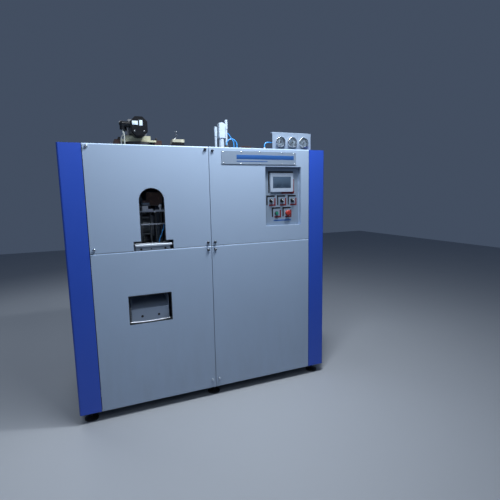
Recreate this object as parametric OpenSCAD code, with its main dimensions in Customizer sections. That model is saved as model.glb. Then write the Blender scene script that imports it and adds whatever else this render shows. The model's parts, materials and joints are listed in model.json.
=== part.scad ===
// Stretch blow moulding machine in a sheet metal cabinet.
// The front faces -Y. The origin is on the floor under the middle of the cabinet, +Z up, in mm.

/* [Cabinet] */
// Overall width across the corner columns
machine_w = 1880; // [1860:10:2000]
// Overall depth from the front panels to the rear panels
machine_d = 1050; // [1040:10:1200]
// Height of the panels' top edge above the floor
cabinet_h = 1820; // [1810:10:1900]
// Clear height under the panels
floor_gap = 70; // [66:1:90]
// Width of a corner column seen from the front
column_w = 137; // [125:1:145]
// Length of a corner column along the side
column_side = 110; // [80:5:160]
// Bend radius of a corner column
column_r = 12; // [4:1:20]
// Height of the upper front panels
upper_h = 685; // [680:1:695]
// Gap between neighbouring panels
panel_gap = 4; // [3:0.5:6]
// Thickness of the panel sheet
sheet_t = 2; // [1.5:0.5:3]
// Depth of the folded edges of a door
door_fold = 18; // [12:1:24]

/* [Frame] */
// Outer size of the square frame tube
tube_w = 60; // [50:2:64]
// Wall of the frame tube
tube_wall = 4; // [3:0.5:6]
// Distance from the outside of the cabinet to the frame
frame_inset = 40; // [36:1:46]
// Distance of the corner posts from the side of the cabinet
post_inset = 150; // [146:1:156]
// Height of the levelling feet
foot_h = 60; // [50:1:64]
// Diameter of a foot's pad
foot_d = 90; // [70:5:110]
// Height of the panel joint above the machine bed
bed_drop = 35; // [31:1:45]
// Thickness of the machine bed
bed_t = 25; // [16:1:30]

/* [Doors and hinges] */
// Distance of a hinge's axis from the door's edge
hinge_in = 15; // [14:0.5:16]
// Distance of a hinge's axis behind the door's face
hinge_back = 9; // [9:0.5:10]
// Distance of a hinge from the door's top or bottom edge
hinge_end = 110; // [80:5:160]
// Diameter of a hinge pin
hinge_pin_d = 8; // [6:0.5:9]
// Radial clearance of pins, shafts and rods in their bores
run_gap = 0.05; // [0.03:0.01:0.08]
// Diameter of a panel screw's head
screw_head_d = 19; // [14:1:24]
// Height of a panel screw's head
screw_head_h = 11; // [6:1:14]
// Distance of a panel screw from the panel's edges
screw_in = 24; // [22:1:28]
// Distance of the window panel's upper screws from its top edge
screw_top = 18; // [16:1:26]

/* [Window and outlet] */
// Middle of the window from the middle of the cabinet
window_x = -401; // [-421:5:-381]
// Width of the arched window
window_w = 165; // [125:5:200]
// Height of the arched window above its slot
window_h = 348; // [280:2:380]
// Width of the slot at the window's foot
slot_w = 262; // [256:2:300]
// Height of the slot above the panel joint
slot_h = 63; // [60:1:80]
// Width of the sill in the slot
sill_w = 240; // [200:1:250]
// Height of the sill above the panel joint
sill_h = 41; // [36:1:54]
// Width of the bottle outlet
outlet_w = 288; // [286:2:320]
// Height of the bottle outlet
outlet_h = 198; // [180:2:230]
// Middle of the bottle outlet
outlet_x = -444; // [-448:1:-440]
// Distance of the outlet's lower edge below the panel joint
outlet_drop = 497; // [485:1:510]
// Outside width of the bottle chute
chute_w = 253; // [235:1:266]
// Distance of the chute's mouth behind the door's face
chute_back = 35; // [34:1:50]

/* [Controls] */
// Distance of the control recess's middle from the door's hinge edge
panel_in = 220; // [216:1:224]
// Width of the control recess
recess_w = 300; // [300:2:316]
// Height of the control recess
recess_h = 437; // [430:1:440]
// Height of the control recess above the panel joint
recess_rise = 119; // [116:1:122]
// Depth of the control recess
recess_d = 35; // [30:1:40]
// Width of the touch screen
screen_w = 194; // [180:2:206]
// Height of the touch screen
screen_h = 140; // [130:2:150]
// Distance between neighbouring selector switches
switch_pitch = 91; // [88:0.5:92]
// Diameter of a switch bezel
bezel_d = 29.5; // [28:0.5:32]
// Diameter of the emergency stop's mushroom head
mushroom_d = 44; // [36:1:46]
// Width of the name plate
plate_w = 595; // [560:5:640]
// Height of the name plate
plate_h = 95; // [80:1:100]

/* [Pressure gauges] */
// Width of the gauge bracket
gauge_bracket_w = 330; // [325:5:360]
// Height of the gauge bracket above the cabinet
gauge_bracket_h = 127; // [120:1:140]
// Diameter of a gauge
gauge_d = 80; // [70:1:90]
// Distance between neighbouring gauges
gauge_pitch = 99; // [96:1:104]

/* [Index drive] */
// Distance of the carousel's axis from the middle of the cabinet
index_x = -406; // [-410:1:-402]
// Radius from the carousel's axis to a gripper's middle
arm_radius = 308; // [300:1:312]
// Height of the carousel arms above the machine bed
arm_rise = 330; // [328:1:334]
// Diameter of the carousel's shaft
shaft_d = 60; // [50:1:70]
// Height of the brown risers under the index drive
riser_h = 89; // [84:1:95]
// Width across the servo motor
motor_w = 120; // [110:2:130]
// Height of the servo motor
motor_h = 142; // [130:2:146]

/* [Clamp and blow station] */
// Opening stroke of each mould half
mould_stroke = 60; // [50:1:64]
// Thickness of a mould half
mould_t = 80; // [70:1:84]
// Width of a mould half
mould_w = 240; // [200:5:250]
// Diameter of a tie bar
tie_bar_d = 36; // [30:1:40]
// Diameter of the bottle that the mould forms
bottle_d = 70; // [50:1:90]
// Thickness of the bridge plate above the moulds
bridge_t = 25; // [20:1:30]
// Travel of the blow nozzle
nozzle_travel = 40; // [30:1:40]
// Diameter of the blow nozzle
nozzle_d = 50; // [44:1:56]
// Travel of the stretch rod
stretch_travel = 230; // [200:1:232]
// Diameter of the stretch rod
stretch_rod_d = 14; // [10:1:16]

/* [Infeed lift] */
// Middle of the infeed lift
lift_x = 278; // [274:1:282]
// Travel of the infeed lift
lift_travel = 108; // [80:1:110]
// Diameter of the lift's guide rods
lift_rod_d = 18; // [14:1:20]
// Width of the white lift cylinder
lift_body_w = 54; // [48:1:56]

/* [Hidden] */

$fn = 48;
eps = 0.5;

half_w = machine_w / 2;
half_d = machine_d / 2;
front_y = -half_d;
frame_y = front_y + frame_inset;
column_in = half_w - column_w;
door_edge = column_in - panel_gap;
seam_z = cabinet_h - upper_h;
bed_z = seam_z - bed_drop;
post_x = half_w - post_inset;
post_y = half_d - frame_inset - tube_w / 2;
side_rail_x = half_w - frame_inset - tube_w / 2;
base_top = foot_h + tube_w;
cover_z = cabinet_h - sheet_t;
top_rail_z = cover_z - tube_w;
bed_under = bed_z - bed_t;
lower_top = seam_z - panel_gap / 2;
upper_bottom = seam_z + panel_gap / 2;

hinge_x = door_edge - hinge_in;
hinge_y = front_y + hinge_back;
lug_h = 24;
lug_r = hinge_back - sheet_t - 0.5;
knuckle_r = hinge_back - sheet_t;
knuckle_h = 26;
knuckle_gap = 0.5;
screw_shank_r = 3;

arch_r = window_w / 2;
arch_z = seam_z + slot_h + window_h - arch_r;
outlet_z = seam_z - outlet_drop;
drop_x = index_x;
drop_y = -arm_radius;
drop_w = 150;
drop_d = 130;

panel_x = door_edge - panel_in;
recess_z = seam_z + recess_rise;
control_y = front_y + recess_d;
plate_t = 3;
plate_y = control_y - plate_t;
side_inset = 6;
screen_z = recess_z + recess_h - 114;
selector_z = recess_z + 188;
button_z = recess_z + 92;
bezel_h = 5;
stem_d = 10;
screen_back_w = 170;
screen_back_h = 116;

gauge_x = panel_x + 96;
gauge_z = cabinet_h + 56;
gauge_y = frame_y + 1;
gauge_ring_d = 14;
gauge_recess = 10;
dial_y = gauge_y - gauge_ring_d + gauge_recess;
needle_y = dial_y - 4;

station_x = index_x + arm_radius;
platen_t = 30;
end_plate_t = 30;
plate_gap = 30;
clamp_z = bed_z + 165;
clamp_rod_d = 40;
cylinder_d = 150;
cylinder_l = 110;
arm_z = bed_z + arm_rise;
platen_h = arm_rise - 12;
platen_w = 380;
tie_y = 150;
tie_z = 125;
mould_face = station_x - mould_stroke;
platen_face = mould_face - mould_t;
end_face = platen_face - platen_t - plate_gap;
end_out = end_face - end_plate_t;
mould_z = bed_z + 5;

bridge_z = arm_z + 105;
bridge_top = bridge_z + bridge_t;
head_h = 60;
nozzle_tip_z = arm_z + 70;
barrel_d = 75;
barrel_top = cabinet_h + 88;

riser_w = 54;
riser_d = 180;
riser_gap = 117;
riser_notch = 14;
plate_low_t = 14;
plate_up_t = 31;
plate_low_z = cabinet_h + riser_h - plate_low_t;
drive_z = plate_low_z + plate_low_t + plate_up_t;
drive_axis_z = drive_z + 53;

lift_rod_xs = [-50, 43];
lift_block_h = 40;
lift_block_z = cabinet_h;
lift_plate_z = cabinet_h - 130;
gland_h = 18;

// A block between two opposite corners
module block(low, high) {
    translate(low) cube(high - low);
}

// A square frame tube standing along +Z
module frame_tube(length) {
    linear_extrude(length) difference() {
        square(tube_w, center = true);
        square(tube_w - 2 * tube_wall, center = true);
    }
}

module rail_along_x(x0, x1, y, z) {
    translate([x0, y, z]) rotate([0, 90, 0]) frame_tube(x1 - x0);
}

module rail_along_y(x, y0, y1, z) {
    translate([x, y1, z]) rotate([90, 0, 0]) frame_tube(y1 - y0);
}

// A rod or bore along +Y from its nearest end
module rod_along_y(r, length) {
    rotate([-90, 0, 0]) cylinder(r = r, h = length);
}

module rod_along_x(r, length) {
    rotate([0, 90, 0]) cylinder(r = r, h = length);
}

// A rectangle with round corners
module round_rect(w, h, r) {
    square([w, h - 2 * r], center = true);
    square([w - 2 * r, h], center = true);
    for (x = [-1, 1], y = [-1, 1]) {
        translate([x * (w / 2 - r), y * (h / 2 - r)]) circle(r);
    }
}

// A flat plate facing -Y, its back at y = 0
module front_plate(w, h, t, r) {
    rotate([90, 0, 0]) linear_extrude(t) round_rect(w, h, r);
}

// A folded panel facing -Y with its lower left corner at the origin
module pan(w, h, depth) {
    difference() {
        cube([w, depth, h]);
        translate([sheet_t, sheet_t, sheet_t]) cube([w - 2 * sheet_t, depth, h - 2 * sheet_t]);
    }
}

module mirror_pair() {
    children();
    mirror([1, 0, 0]) children();
}

module levelling_foot() {
    cylinder(d = foot_d, h = 8);
    translate([0, 0, 8]) cylinder(d1 = foot_d - 10, d2 = 34, h = 10);
    cylinder(d = 20, h = foot_h);
    translate([0, 0, foot_h - 16]) cylinder(d = 36, h = 16, $fn = 6);
}

module levelling_feet() color("dimgray") {
    for (x = [-side_rail_x, 0, side_rail_x], y = [-post_y, post_y]) {
        translate([x, y, 0]) levelling_foot();
    }
}

module frame_posts() color("darkslategray") {
    for (x = [-post_x, 0, post_x], y = [-post_y, post_y]) {
        translate([x, y, base_top]) frame_tube(top_rail_z - base_top);
    }
}

// One closed ring of four tubes round the cabinet
module frame_ring(z) {
    for (y = [-post_y, post_y]) {
        rail_along_x(tube_w / 2 - side_rail_x, side_rail_x - tube_w / 2, y, z + tube_w / 2);
    }
    for (x = [-side_rail_x, side_rail_x]) {
        rail_along_y(x, frame_y, -frame_y, z + tube_w / 2);
    }
}

riser_x = riser_gap + riser_w / 2;
cross_xs = [index_x - riser_x, index_x + riser_x, lift_x - 100, lift_x + 100];
cabinet_xs = [260, 700];

module frame_rails() color("darkslategray") {
    inner_y = post_y - tube_w / 2;
    frame_ring(foot_h);
    frame_ring(top_rail_z);
    for (y = [-post_y, post_y], side = [-1, 1]) {
        near = side * tube_w / 2;
        far = side * (post_x - tube_w / 2);
        rail_along_x(min(near, far), max(near, far), y, bed_under - tube_w / 2);
    }
    for (x = cross_xs) rail_along_y(x, -inner_y, inner_y, top_rail_z + tube_w / 2);
    for (x = cabinet_xs) rail_along_y(x, -inner_y, inner_y, foot_h + tube_w / 2);
}

module machine_bed() color("gainsboro") difference() {
    edge_x = post_x - tube_w / 2;
    block([-edge_x, frame_y, bed_under], [edge_x, -frame_y, bed_z]);
    for (y = [-post_y, post_y]) {
        translate([0, y, bed_under - eps]) linear_extrude(bed_t + 2 * eps) square(tube_w, center = true);
    }
    translate([drop_x, drop_y, bed_z]) cube([drop_w, drop_d, 3 * bed_t], center = true);
}

module column_outline(w, d, r) {
    translate([r, 0]) square([w - r, d]);
    translate([0, r]) square([w, d - r]);
    translate([r, r]) circle(r);
}

// The folded section of a corner column, its outer corner at the origin
module column_section() {
    difference() {
        column_outline(column_w, column_side, column_r);
        translate([sheet_t, sheet_t]) column_outline(column_w, column_side, column_r - sheet_t);
    }
    translate([column_w - sheet_t, 0]) square([sheet_t, frame_inset]);
    translate([0, column_side - sheet_t]) square([frame_inset, sheet_t]);
}

module corner_columns() color("royalblue") {
    for (front = [0, 1]) mirror([0, front, 0]) mirror_pair() {
        translate([-half_w, -half_d, floor_gap]) {
            linear_extrude(cabinet_h - floor_gap) column_section();
        }
    }
}

module side_panels() color("lightsteelblue") mirror_pair() {
    length = machine_d - 2 * (column_side + panel_gap);
    translate([half_w, -length / 2, floor_gap]) rotate([0, 0, 90]) {
        pan(length, cabinet_h - floor_gap, frame_inset);
    }
}

louvre_w = 110;
louvre_h = 7;
louvre_pitch = 22;

module rear_panel() difference() {
    w = door_edge - panel_gap / 2;
    translate([door_edge, half_d, floor_gap]) rotate([0, 0, 180]) {
        pan(w, cabinet_h - floor_gap, frame_inset);
    }
    for (column = [-1, 0, 1], row = [0:9]) {
        x = door_edge / 2 + column * (louvre_w + 30);
        z = floor_gap + 180 + row * louvre_pitch;
        translate([x - louvre_w / 2, half_d - sheet_t - eps, z]) {
            cube([louvre_w, sheet_t + 2 * eps, louvre_h]);
        }
    }
}

module rear_panels() color("lightsteelblue") mirror_pair() rear_panel();

bearing_d = 140;

module top_cover() color("lightsteelblue") difference() {
    edge_x = side_rail_x + tube_w / 2;
    block([-edge_x, frame_y, cover_z], [edge_x, -frame_y, cabinet_h]);
    translate([index_x, 0, cover_z - eps]) cylinder(d = bearing_d + 4, h = sheet_t + 2 * eps);
    translate([station_x, 0, cover_z - eps]) cylinder(d = barrel_d + 2, h = sheet_t + 2 * eps);
    for (x = concat(lift_rod_xs, [0])) {
        translate([lift_x + x, 0, cover_z - eps]) cylinder(d = lift_rod_d + 4, h = sheet_t + 2 * eps);
    }
}

module window_cut() {
    translate([window_x, front_y - eps, arch_z]) rod_along_y(arch_r, sheet_t + 2 * eps);
    block([window_x - arch_r, front_y - eps, seam_z], [window_x + arch_r, front_y + sheet_t + eps, arch_z]);
    block([window_x - slot_w / 2, front_y - eps, upper_bottom - eps],
          [window_x + slot_w / 2, frame_y + eps, seam_z + slot_h]);
}

// Where a panel's screws sit, for a panel from x0 to x1 and z0 to z1
function screw_places(x0, x1, z0, z1) = [for (x = [x0, x1], z = [z0, z1]) [x, front_y, z]];

window_screws = screw_places(-door_edge + screw_in, -panel_gap / 2 - screw_in,
                             upper_bottom + screw_in, cabinet_h - screw_top);
free_x = panel_gap / 2 + screw_in;
upper_door_screws = screw_places(free_x, free_x, upper_bottom + screw_in, cabinet_h - screw_in);
lower_door_screws = screw_places(free_x, free_x, floor_gap + tube_w, lower_top - screw_in);

module screw_hole() {
    translate([0, -eps, 0]) rod_along_y(screw_shank_r + 0.2, sheet_t + 2 * eps);
}

// A knurled panel screw with a domed head in front of the panel
module panel_screw(reach) {
    head_r = screw_head_d / 2;
    rod_along_y(screw_shank_r, reach);
    translate([0, -screw_head_h, 0]) {
        translate([0, 3, 0]) rod_along_y(head_r, screw_head_h - 3);
        rotate([-90, 0, 0]) cylinder(r1 = head_r - 3, r2 = head_r, h = 3);
    }
}

module window_panel() color("lightsteelblue") difference() {
    translate([-door_edge, front_y, upper_bottom]) {
        pan(door_edge - panel_gap / 2, cabinet_h - upper_bottom, frame_inset);
    }
    window_cut();
    for (place = window_screws) translate(place) screw_hole();
}

module window_panel_screws() color("slategray") {
    for (place = window_screws) translate(place) panel_screw(frame_inset);
}

sill_proud = 3;
sill_t = 3;
sill_d = 85;
sill_lip_h = 13;
sill_set_back = 7;
sill_face_short = 12;

module window_sill() color("silver") difference() {
    top = seam_z + sill_h;
    y0 = front_y - sill_proud;
    x0 = window_x - sill_w / 2;
    x1 = window_x + sill_w / 2;
    union() {
        block([x0, y0, top - sill_lip_h], [x1, y0 + sill_d, top]);
        block([x0, y0 + sill_set_back, bed_z], [x1 - sill_face_short, y0 + sill_d, top]);
    }
    block([x0 - eps, y0 + sill_set_back + sill_t, bed_z - eps],
          [x1 + eps, y0 + sill_d - sill_t, top - sill_t]);
    block([x0 - eps, y0 - eps, bed_z - eps], [x1 + eps, frame_y - eps, upper_bottom]);
    for (x = [-84, -18, 75]) {
        translate([window_x + x, y0 - eps, seam_z + 9]) rod_along_y(x == -18 ? 2.5 : 4, 12);
    }
}

chute_y0 = front_y + chute_back;
chute_l = 260;
chute_t = 3;
chute_lip_h = 94;
chute_floor_z = outlet_z + 90;
chute_rise = 85;
chute_wall_h = 80;

module chute_side() {
    polygon([[0, 0], [chute_l, chute_rise], [chute_l, chute_rise + 190], [0, chute_wall_h]]);
}

module bottle_chute() color("whitesmoke") translate([outlet_x, chute_y0, chute_floor_z]) {
    slope = atan2(chute_rise, chute_l);
    run = chute_l / cos(slope);
    for (side = [-1, 1]) {
        translate([side * (chute_w / 2 - chute_t / 2) - chute_t / 2, 0, 0]) {
            rotate([90, 0, 90]) linear_extrude(chute_t) chute_side();
        }
        hanger_x = side * (chute_w / 2 + chute_t / 2) - chute_t / 2;
        translate([hanger_x, 150, 130]) cube([chute_t, 40, bed_under - chute_floor_z - 130]);
        translate([hanger_x - (side > 0 ? 0 : 30 - chute_t), 150, bed_under - chute_floor_z - chute_t]) {
            cube([30, 40, chute_t]);
        }
    }
    difference() {
        rotate([slope, 0, 0]) translate([-chute_w / 2, 0, 0]) cube([chute_w, run, chute_t]);
        translate([-chute_w, chute_l, -eps]) cube([2 * chute_w, 50, 400]);
        translate([-chute_w, -50, -50]) cube([2 * chute_w, 50, 400]);
    }
    translate([-chute_w / 2, chute_l - chute_t, chute_rise]) cube([chute_w, chute_t, 190]);
    chute_lip();
}

// The bowed lip under the chute's mouth, with its two holes
module chute_lip() rotate([90, 0, 0]) translate([0, 0, -chute_t]) {
    bow_r = 900;
    linear_extrude(chute_t) difference() {
        intersection() {
            translate([-chute_w / 2, -chute_lip_h]) square([chute_w, chute_lip_h + chute_t]);
            translate([0, bow_r - chute_lip_h]) circle(bow_r, $fn = 360);
        }
        for (x = [-56, 56]) translate([x, -50]) circle(7);
    }
}

hinge_zs_lower = [floor_gap + hinge_end, lower_top - hinge_end];
hinge_zs_upper = [upper_bottom + hinge_end, cabinet_h - hinge_end];

// The fixed half of a hinge with its pin, at the right side of the cabinet
module hinge_bracket(z) {
    translate([hinge_x, hinge_y, z - lug_h / 2]) {
        cylinder(r = lug_r, h = lug_h);
        cylinder(d = hinge_pin_d, h = lug_h + knuckle_h + 4);
    }
    block([hinge_x - 8, hinge_y, z - lug_h / 2], [hinge_x, frame_y, z + lug_h / 2]);
    block([hinge_x - 8, frame_y - 6, z - lug_h], [column_in - 2, frame_y, z + lug_h]);
}

module hinge_brackets() color("silver") {
    for (z = concat(hinge_zs_lower, hinge_zs_upper)) hinge_bracket(z);
    mirror([1, 0, 0]) for (z = hinge_zs_lower) hinge_bracket(z);
}

// The door's half of a hinge, welded behind the face sheet
module knuckle(z) translate([hinge_x, hinge_y, z + lug_h / 2 + knuckle_gap]) {
    difference() {
        union() {
            cylinder(r = knuckle_r, h = knuckle_h);
            translate([-knuckle_r, -hinge_back + sheet_t / 2, 0]) {
                cube([2 * knuckle_r, knuckle_r, knuckle_h]);
            }
        }
        translate([0, 0, -eps]) cylinder(d = hinge_pin_d + 2 * run_gap, h = knuckle_h + 2 * eps);
    }
}

// A right-hand door from z0 to z1 with folds at its free edge, top and bottom
module door_blank(z0, z1, hinge_zs) {
    x0 = panel_gap / 2;
    fold_end = hinge_x - 10;
    block([x0, front_y, z0], [door_edge, front_y + sheet_t, z1]);
    block([x0, front_y, z0], [x0 + sheet_t, front_y + door_fold, z1]);
    block([x0, front_y, z0], [fold_end, front_y + door_fold, z0 + sheet_t]);
    block([x0, front_y, z1 - sheet_t], [fold_end, front_y + door_fold, z1]);
    for (z = hinge_zs) knuckle(z);
}

module outlet_door() color("lightsteelblue") difference() {
    mirror([1, 0, 0]) difference() {
        door_blank(floor_gap, lower_top, hinge_zs_lower);
        for (place = lower_door_screws) translate(place) screw_hole();
    }
    block([outlet_x - outlet_w / 2, front_y - eps, outlet_z],
          [outlet_x + outlet_w / 2, front_y + sheet_t + eps, outlet_z + outlet_h]);
}

module service_door() color("lightsteelblue") difference() {
    door_blank(floor_gap, lower_top, hinge_zs_lower);
    for (place = lower_door_screws) translate(place) screw_hole();
}

door_screw_reach = frame_inset - 0.3;

module outlet_door_screws() color("slategray") mirror([1, 0, 0]) {
    for (place = lower_door_screws) translate(place) panel_screw(door_screw_reach);
}

module service_door_screws() color("slategray") {
    for (place = lower_door_screws) translate(place) panel_screw(door_screw_reach);
}

module control_door_screws() color("slategray") {
    for (place = upper_door_screws) translate(place) panel_screw(door_screw_reach);
}

selector_places = [for (i = [-1, 0, 1]) [panel_x + i * switch_pitch, plate_y, selector_z]];
button_places = [for (i = [-0.5, 0.5]) [panel_x + i * switch_pitch, plate_y, button_z]];
switch_places = concat(selector_places, button_places);
mount_hole_r = 11.2;

module switch_holes(y, depth) {
    for (place = switch_places) {
        translate([place[0], y, place[2]]) rod_along_y(mount_hole_r, depth);
    }
    translate([panel_x, y + depth, screen_z]) front_plate(screen_back_w + 2, screen_back_h + 2, depth, 3);
}

module control_door() color("lightsteelblue") {
    x0 = panel_x - recess_w / 2;
    x1 = panel_x + recess_w / 2;
    z1 = recess_z + recess_h;
    difference() {
        union() {
            door_blank(upper_bottom, cabinet_h, hinge_zs_upper);
            block([x0 - sheet_t, front_y, recess_z - sheet_t], [x1 + sheet_t, control_y + sheet_t, z1 + sheet_t]);
        }
        block([x0, front_y - eps, recess_z], [x1, control_y, z1]);
        switch_holes(control_y - eps, sheet_t + 2 * eps);
        for (place = upper_door_screws) translate(place) screw_hole();
    }
}

module control_plate() color("lightslategray") difference() {
    translate([panel_x, control_y, recess_z + recess_h / 2]) {
        front_plate(recess_w - 2 * side_inset, recess_h - 2, plate_t, 10);
    }
    switch_holes(plate_y - eps, plate_t + 2 * eps);
}

bracket_t = 1;
switch_frame = 78;

// An upper left corner strip; across and down are the lengths of its arms
module corner_strip(w, h, band, across, down) rotate([90, 0, 0]) linear_extrude(bracket_t) {
    translate([-w / 2, h / 2 - band]) square([across, band]);
    translate([-w / 2, h / 2 - down]) square([band, down]);
}

// Two corner strips round a control, the long upper left one and the short lower right one
module corner_bracket(w, h, band, long, short) {
    corner_strip(w, h, band, long[0] * w, long[1] * h);
    rotate([0, 180, 0]) corner_strip(w, h, band, short[0] * w, short[1] * h);
}

module control_brackets() color("black") {
    for (place = selector_places) {
        translate(place) corner_bracket(switch_frame, switch_frame, 10.5, [0.92, 0.93], [0.71, 0.73]);
    }
    for (place = button_places) translate(place) translate([0, 0, 6]) {
        corner_bracket(switch_frame, switch_frame, 10.5, [0.92, 0.93], [0.71, 0.73]);
    }
    translate([panel_x - 2, plate_y, screen_z - 1]) {
        corner_bracket(screen_w + 27, screen_h + 28, 11, [0.96, 0.96], [0.5, 0.65]);
    }
}

plate_left = 91;

module name_plate() color("silver") {
    translate([plate_left + plate_w / 2, front_y, cabinet_h - 22 - plate_h / 2]) {
        front_plate(plate_w, plate_h, 3, 4);
    }
}

module touch_screen() color("lightsteelblue") translate([panel_x, plate_y, screen_z]) {
    difference() {
        front_plate(screen_w, screen_h, 9, 5);
        translate([0, -8, 0]) front_plate(screen_w - 40, screen_h - 54, 2, 2);
    }
    translate([0, 45, 0]) front_plate(screen_back_w, screen_back_h, 45, 3);
}

// A 22 mm switch: bezel ring in front of the plate, body behind it
module switch_body() difference() {
    union() {
        translate([0, -bezel_h, 0]) rod_along_y(bezel_d / 2, bezel_h);
        rod_along_y(mount_hole_r - 0.2, 20);
        translate([-15, 12, -20]) cube([30, 40, 40]);
    }
    translate([0, -bezel_h - eps, 0]) rod_along_y(stem_d / 2 + run_gap, bezel_h + 20);
}

module switch_bodies() color("dimgray") for (place = switch_places) translate(place) switch_body();

// A selector knob: stem, round skirt and a tapered grip
module selector_knob() translate([0, -bezel_h - 0.3, 0]) {
    translate([0, -2, 0]) rod_along_y(stem_d / 2, 20);
    rotate([90, 0, 0]) cylinder(d1 = 27, d2 = 25, h = 6);
    rotate([0, -45, 0]) intersection() {
        translate([-4.5, -17, -14]) cube([9, 12, 28]);
        rotate([90, 0, 0]) cylinder(d = 23, h = 18);
    }
}

module selector_left() color("black") translate(selector_places[0]) selector_knob();
module selector_middle() color("black") translate(selector_places[1]) selector_knob();
module selector_right() color("black") translate(selector_places[2]) selector_knob();

button_travel = 3;
stop_travel = 4;

module start_button() color("green") translate(button_places[0]) translate([0, -bezel_h, 0]) {
    translate([0, -button_travel - 2, 0]) rod_along_y(stem_d / 2, 15);
    translate([0, -button_travel - 7, 0]) rod_along_y(11, 6.5);
}

module emergency_stop() color("red") translate(button_places[1]) translate([0, -bezel_h, 0]) {
    translate([0, -stop_travel - 10, 0]) rod_along_y(stem_d / 2, stop_travel + 23);
    translate([0, -stop_travel - 1, 0]) rotate([90, 0, 0]) cylinder(d1 = 28, d2 = mushroom_d - 4, h = 6);
    translate([0, -stop_travel - 7, 0]) rotate([90, 0, 0]) cylinder(d = mushroom_d, h = 6);
    translate([0, -stop_travel - 13, 0]) rotate([90, 0, 0]) cylinder(d1 = mushroom_d, d2 = mushroom_d - 14, h = 6);
}

gauge_places = [for (i = [-1, 0, 1]) [gauge_x + i * gauge_pitch, gauge_y, gauge_z]];
gauge_body_d = gauge_d - 10;

module gauge_bracket() color("lightsteelblue") difference() {
    union() {
        block([gauge_x - gauge_bracket_w / 2, gauge_y, cabinet_h],
              [gauge_x + gauge_bracket_w / 2, gauge_y + 3, cabinet_h + gauge_bracket_h]);
        block([gauge_x - gauge_bracket_w / 2, gauge_y, cabinet_h],
              [gauge_x + gauge_bracket_w / 2, gauge_y + 30, cabinet_h + 3]);
        block([gauge_x - gauge_bracket_w / 2, gauge_y, cabinet_h + gauge_bracket_h - 3],
              [gauge_x + gauge_bracket_w / 2, gauge_y + 30, cabinet_h + gauge_bracket_h]);
    }
    for (place = gauge_places) translate(place) translate([0, -eps, 0]) rod_along_y(gauge_body_d / 2 + 0.3, 5);
}

module gauge_cases() color("silver") for (place = gauge_places) translate(place) difference() {
    union() {
        rod_along_y(gauge_body_d / 2, 34);
        translate([-8, 34, -8]) cube(16);
        rotate([90, 0, 0]) cylinder(d = gauge_d, h = gauge_ring_d - 4);
        translate([0, 4 - gauge_ring_d, 0]) rotate([90, 0, 0]) cylinder(d1 = gauge_d, d2 = gauge_d - 6, h = 4);
    }
    difference() {
        translate([0, -gauge_ring_d - eps, 0]) rod_along_y(gauge_d / 2 - 7, gauge_recess + eps);
        translate([0, needle_y - gauge_y - 2, 0]) rod_along_y(1.5, 10);
    }
}

module gauge_glasses() color("lightblue", 0.4) for (place = gauge_places) translate(place) {
    translate([0, -gauge_ring_d + 1, 0]) rod_along_y(gauge_d / 2 - 7, 2);
}

// A needle pointing at zero, low on the left of its dial
module needle(place) translate([place[0], needle_y, place[2]]) rotate([0, -135, 0]) difference() {
    union() {
        rod_along_y(4, 1.5);
        translate([-1, 0, -7]) cube([2, 1, 34]);
    }
    translate([0, -eps, 0]) rod_along_y(1.5 + run_gap, 3);
}

module gauge_needle_left() color("black") needle(gauge_places[0]);
module gauge_needle_middle() color("black") needle(gauge_places[1]);
module gauge_needle_right() color("black") needle(gauge_places[2]);

wedge_x = lift_x + 136;

module motor_risers() color("saddlebrown") {
    for (side = [-1, 1]) {
        translate([index_x, 0, cabinet_h]) mirror([side > 0 ? 0 : 1, 0, 0]) difference() {
            translate([riser_gap, -riser_d / 2, 0]) cube([riser_w, riser_d, riser_h]);
            translate([riser_gap - eps, -riser_d, riser_h - plate_low_t]) {
                cube([riser_notch + eps, 2 * riser_d, 30]);
            }
        }
    }
    translate([wedge_x, 0, cabinet_h]) rotate([90, 0, 0]) linear_extrude(60) {
        polygon([[0, 0], [106, 0], [106, 73], [30, 73], [0, 60]]);
    }
}

module motor_plates() color("wheat") difference() {
    half = riser_gap + riser_notch;
    union() {
        block([index_x - half, -88, plate_low_z], [index_x + half, 88, plate_low_z + plate_low_t]);
        block([index_x - 91, -78, plate_low_z + plate_low_t], [index_x + 91, 84, drive_z]);
    }
    translate([index_x, 0, plate_low_z - eps]) cylinder(d = shaft_d + 20, h = 60);
}

motor_y0 = -165;
motor_l = 85;
gearbox_l = 150;
cable_r = 5;

module octagon(w, h, cut) {
    polygon([
        [-w / 2 + cut, -h / 2], [w / 2 - cut, -h / 2], [w / 2, -h / 2 + cut], [w / 2, h / 2 - cut],
        [w / 2 - cut, h / 2], [-w / 2 + cut, h / 2], [-w / 2, h / 2 - cut], [-w / 2, -h / 2 + cut]
    ]);
}

// One bend of a round cord: it leads down from the origin and swings towards -X by the angle
module cord_bend(r, bend_r, turn) {
    translate([-bend_r, 0, 0]) rotate([0, turn, 0]) rotate([90, 0, 0]) {
        rotate_extrude(angle = turn) translate([bend_r, 0]) circle(r);
    }
}

// A narrow sleeve over a joint in a cord, along Z
module cord_joint(r) translate([0, 0, -2]) cylinder(r = r + 0.7, h = 4);

// A straight length of cord down from the origin, with a narrow sleeve at its start
module cord_run(r, length) {
    translate([0, 0, -length]) cylinder(r = r, h = length - 0.5);
    cord_joint(r);
}

function swing_x(bend_r, turn, mid) = 2 * bend_r * (1 - cos(turn)) + mid * sin(turn);
function swing_z(bend_r, turn, mid) = 2 * bend_r * sin(turn) + mid * cos(turn);

// A round cord that leads down, swings towards -X and leads down again, over the given drop
module cord_swing(r, bend_r, turn, mid, drop) {
    translate([0, 0, -2]) cylinder(r = r + 0.7, h = 2);
    translate([0, 0, -0.5]) cord_path(r, bend_r, turn, mid, drop - 0.5);
}

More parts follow.
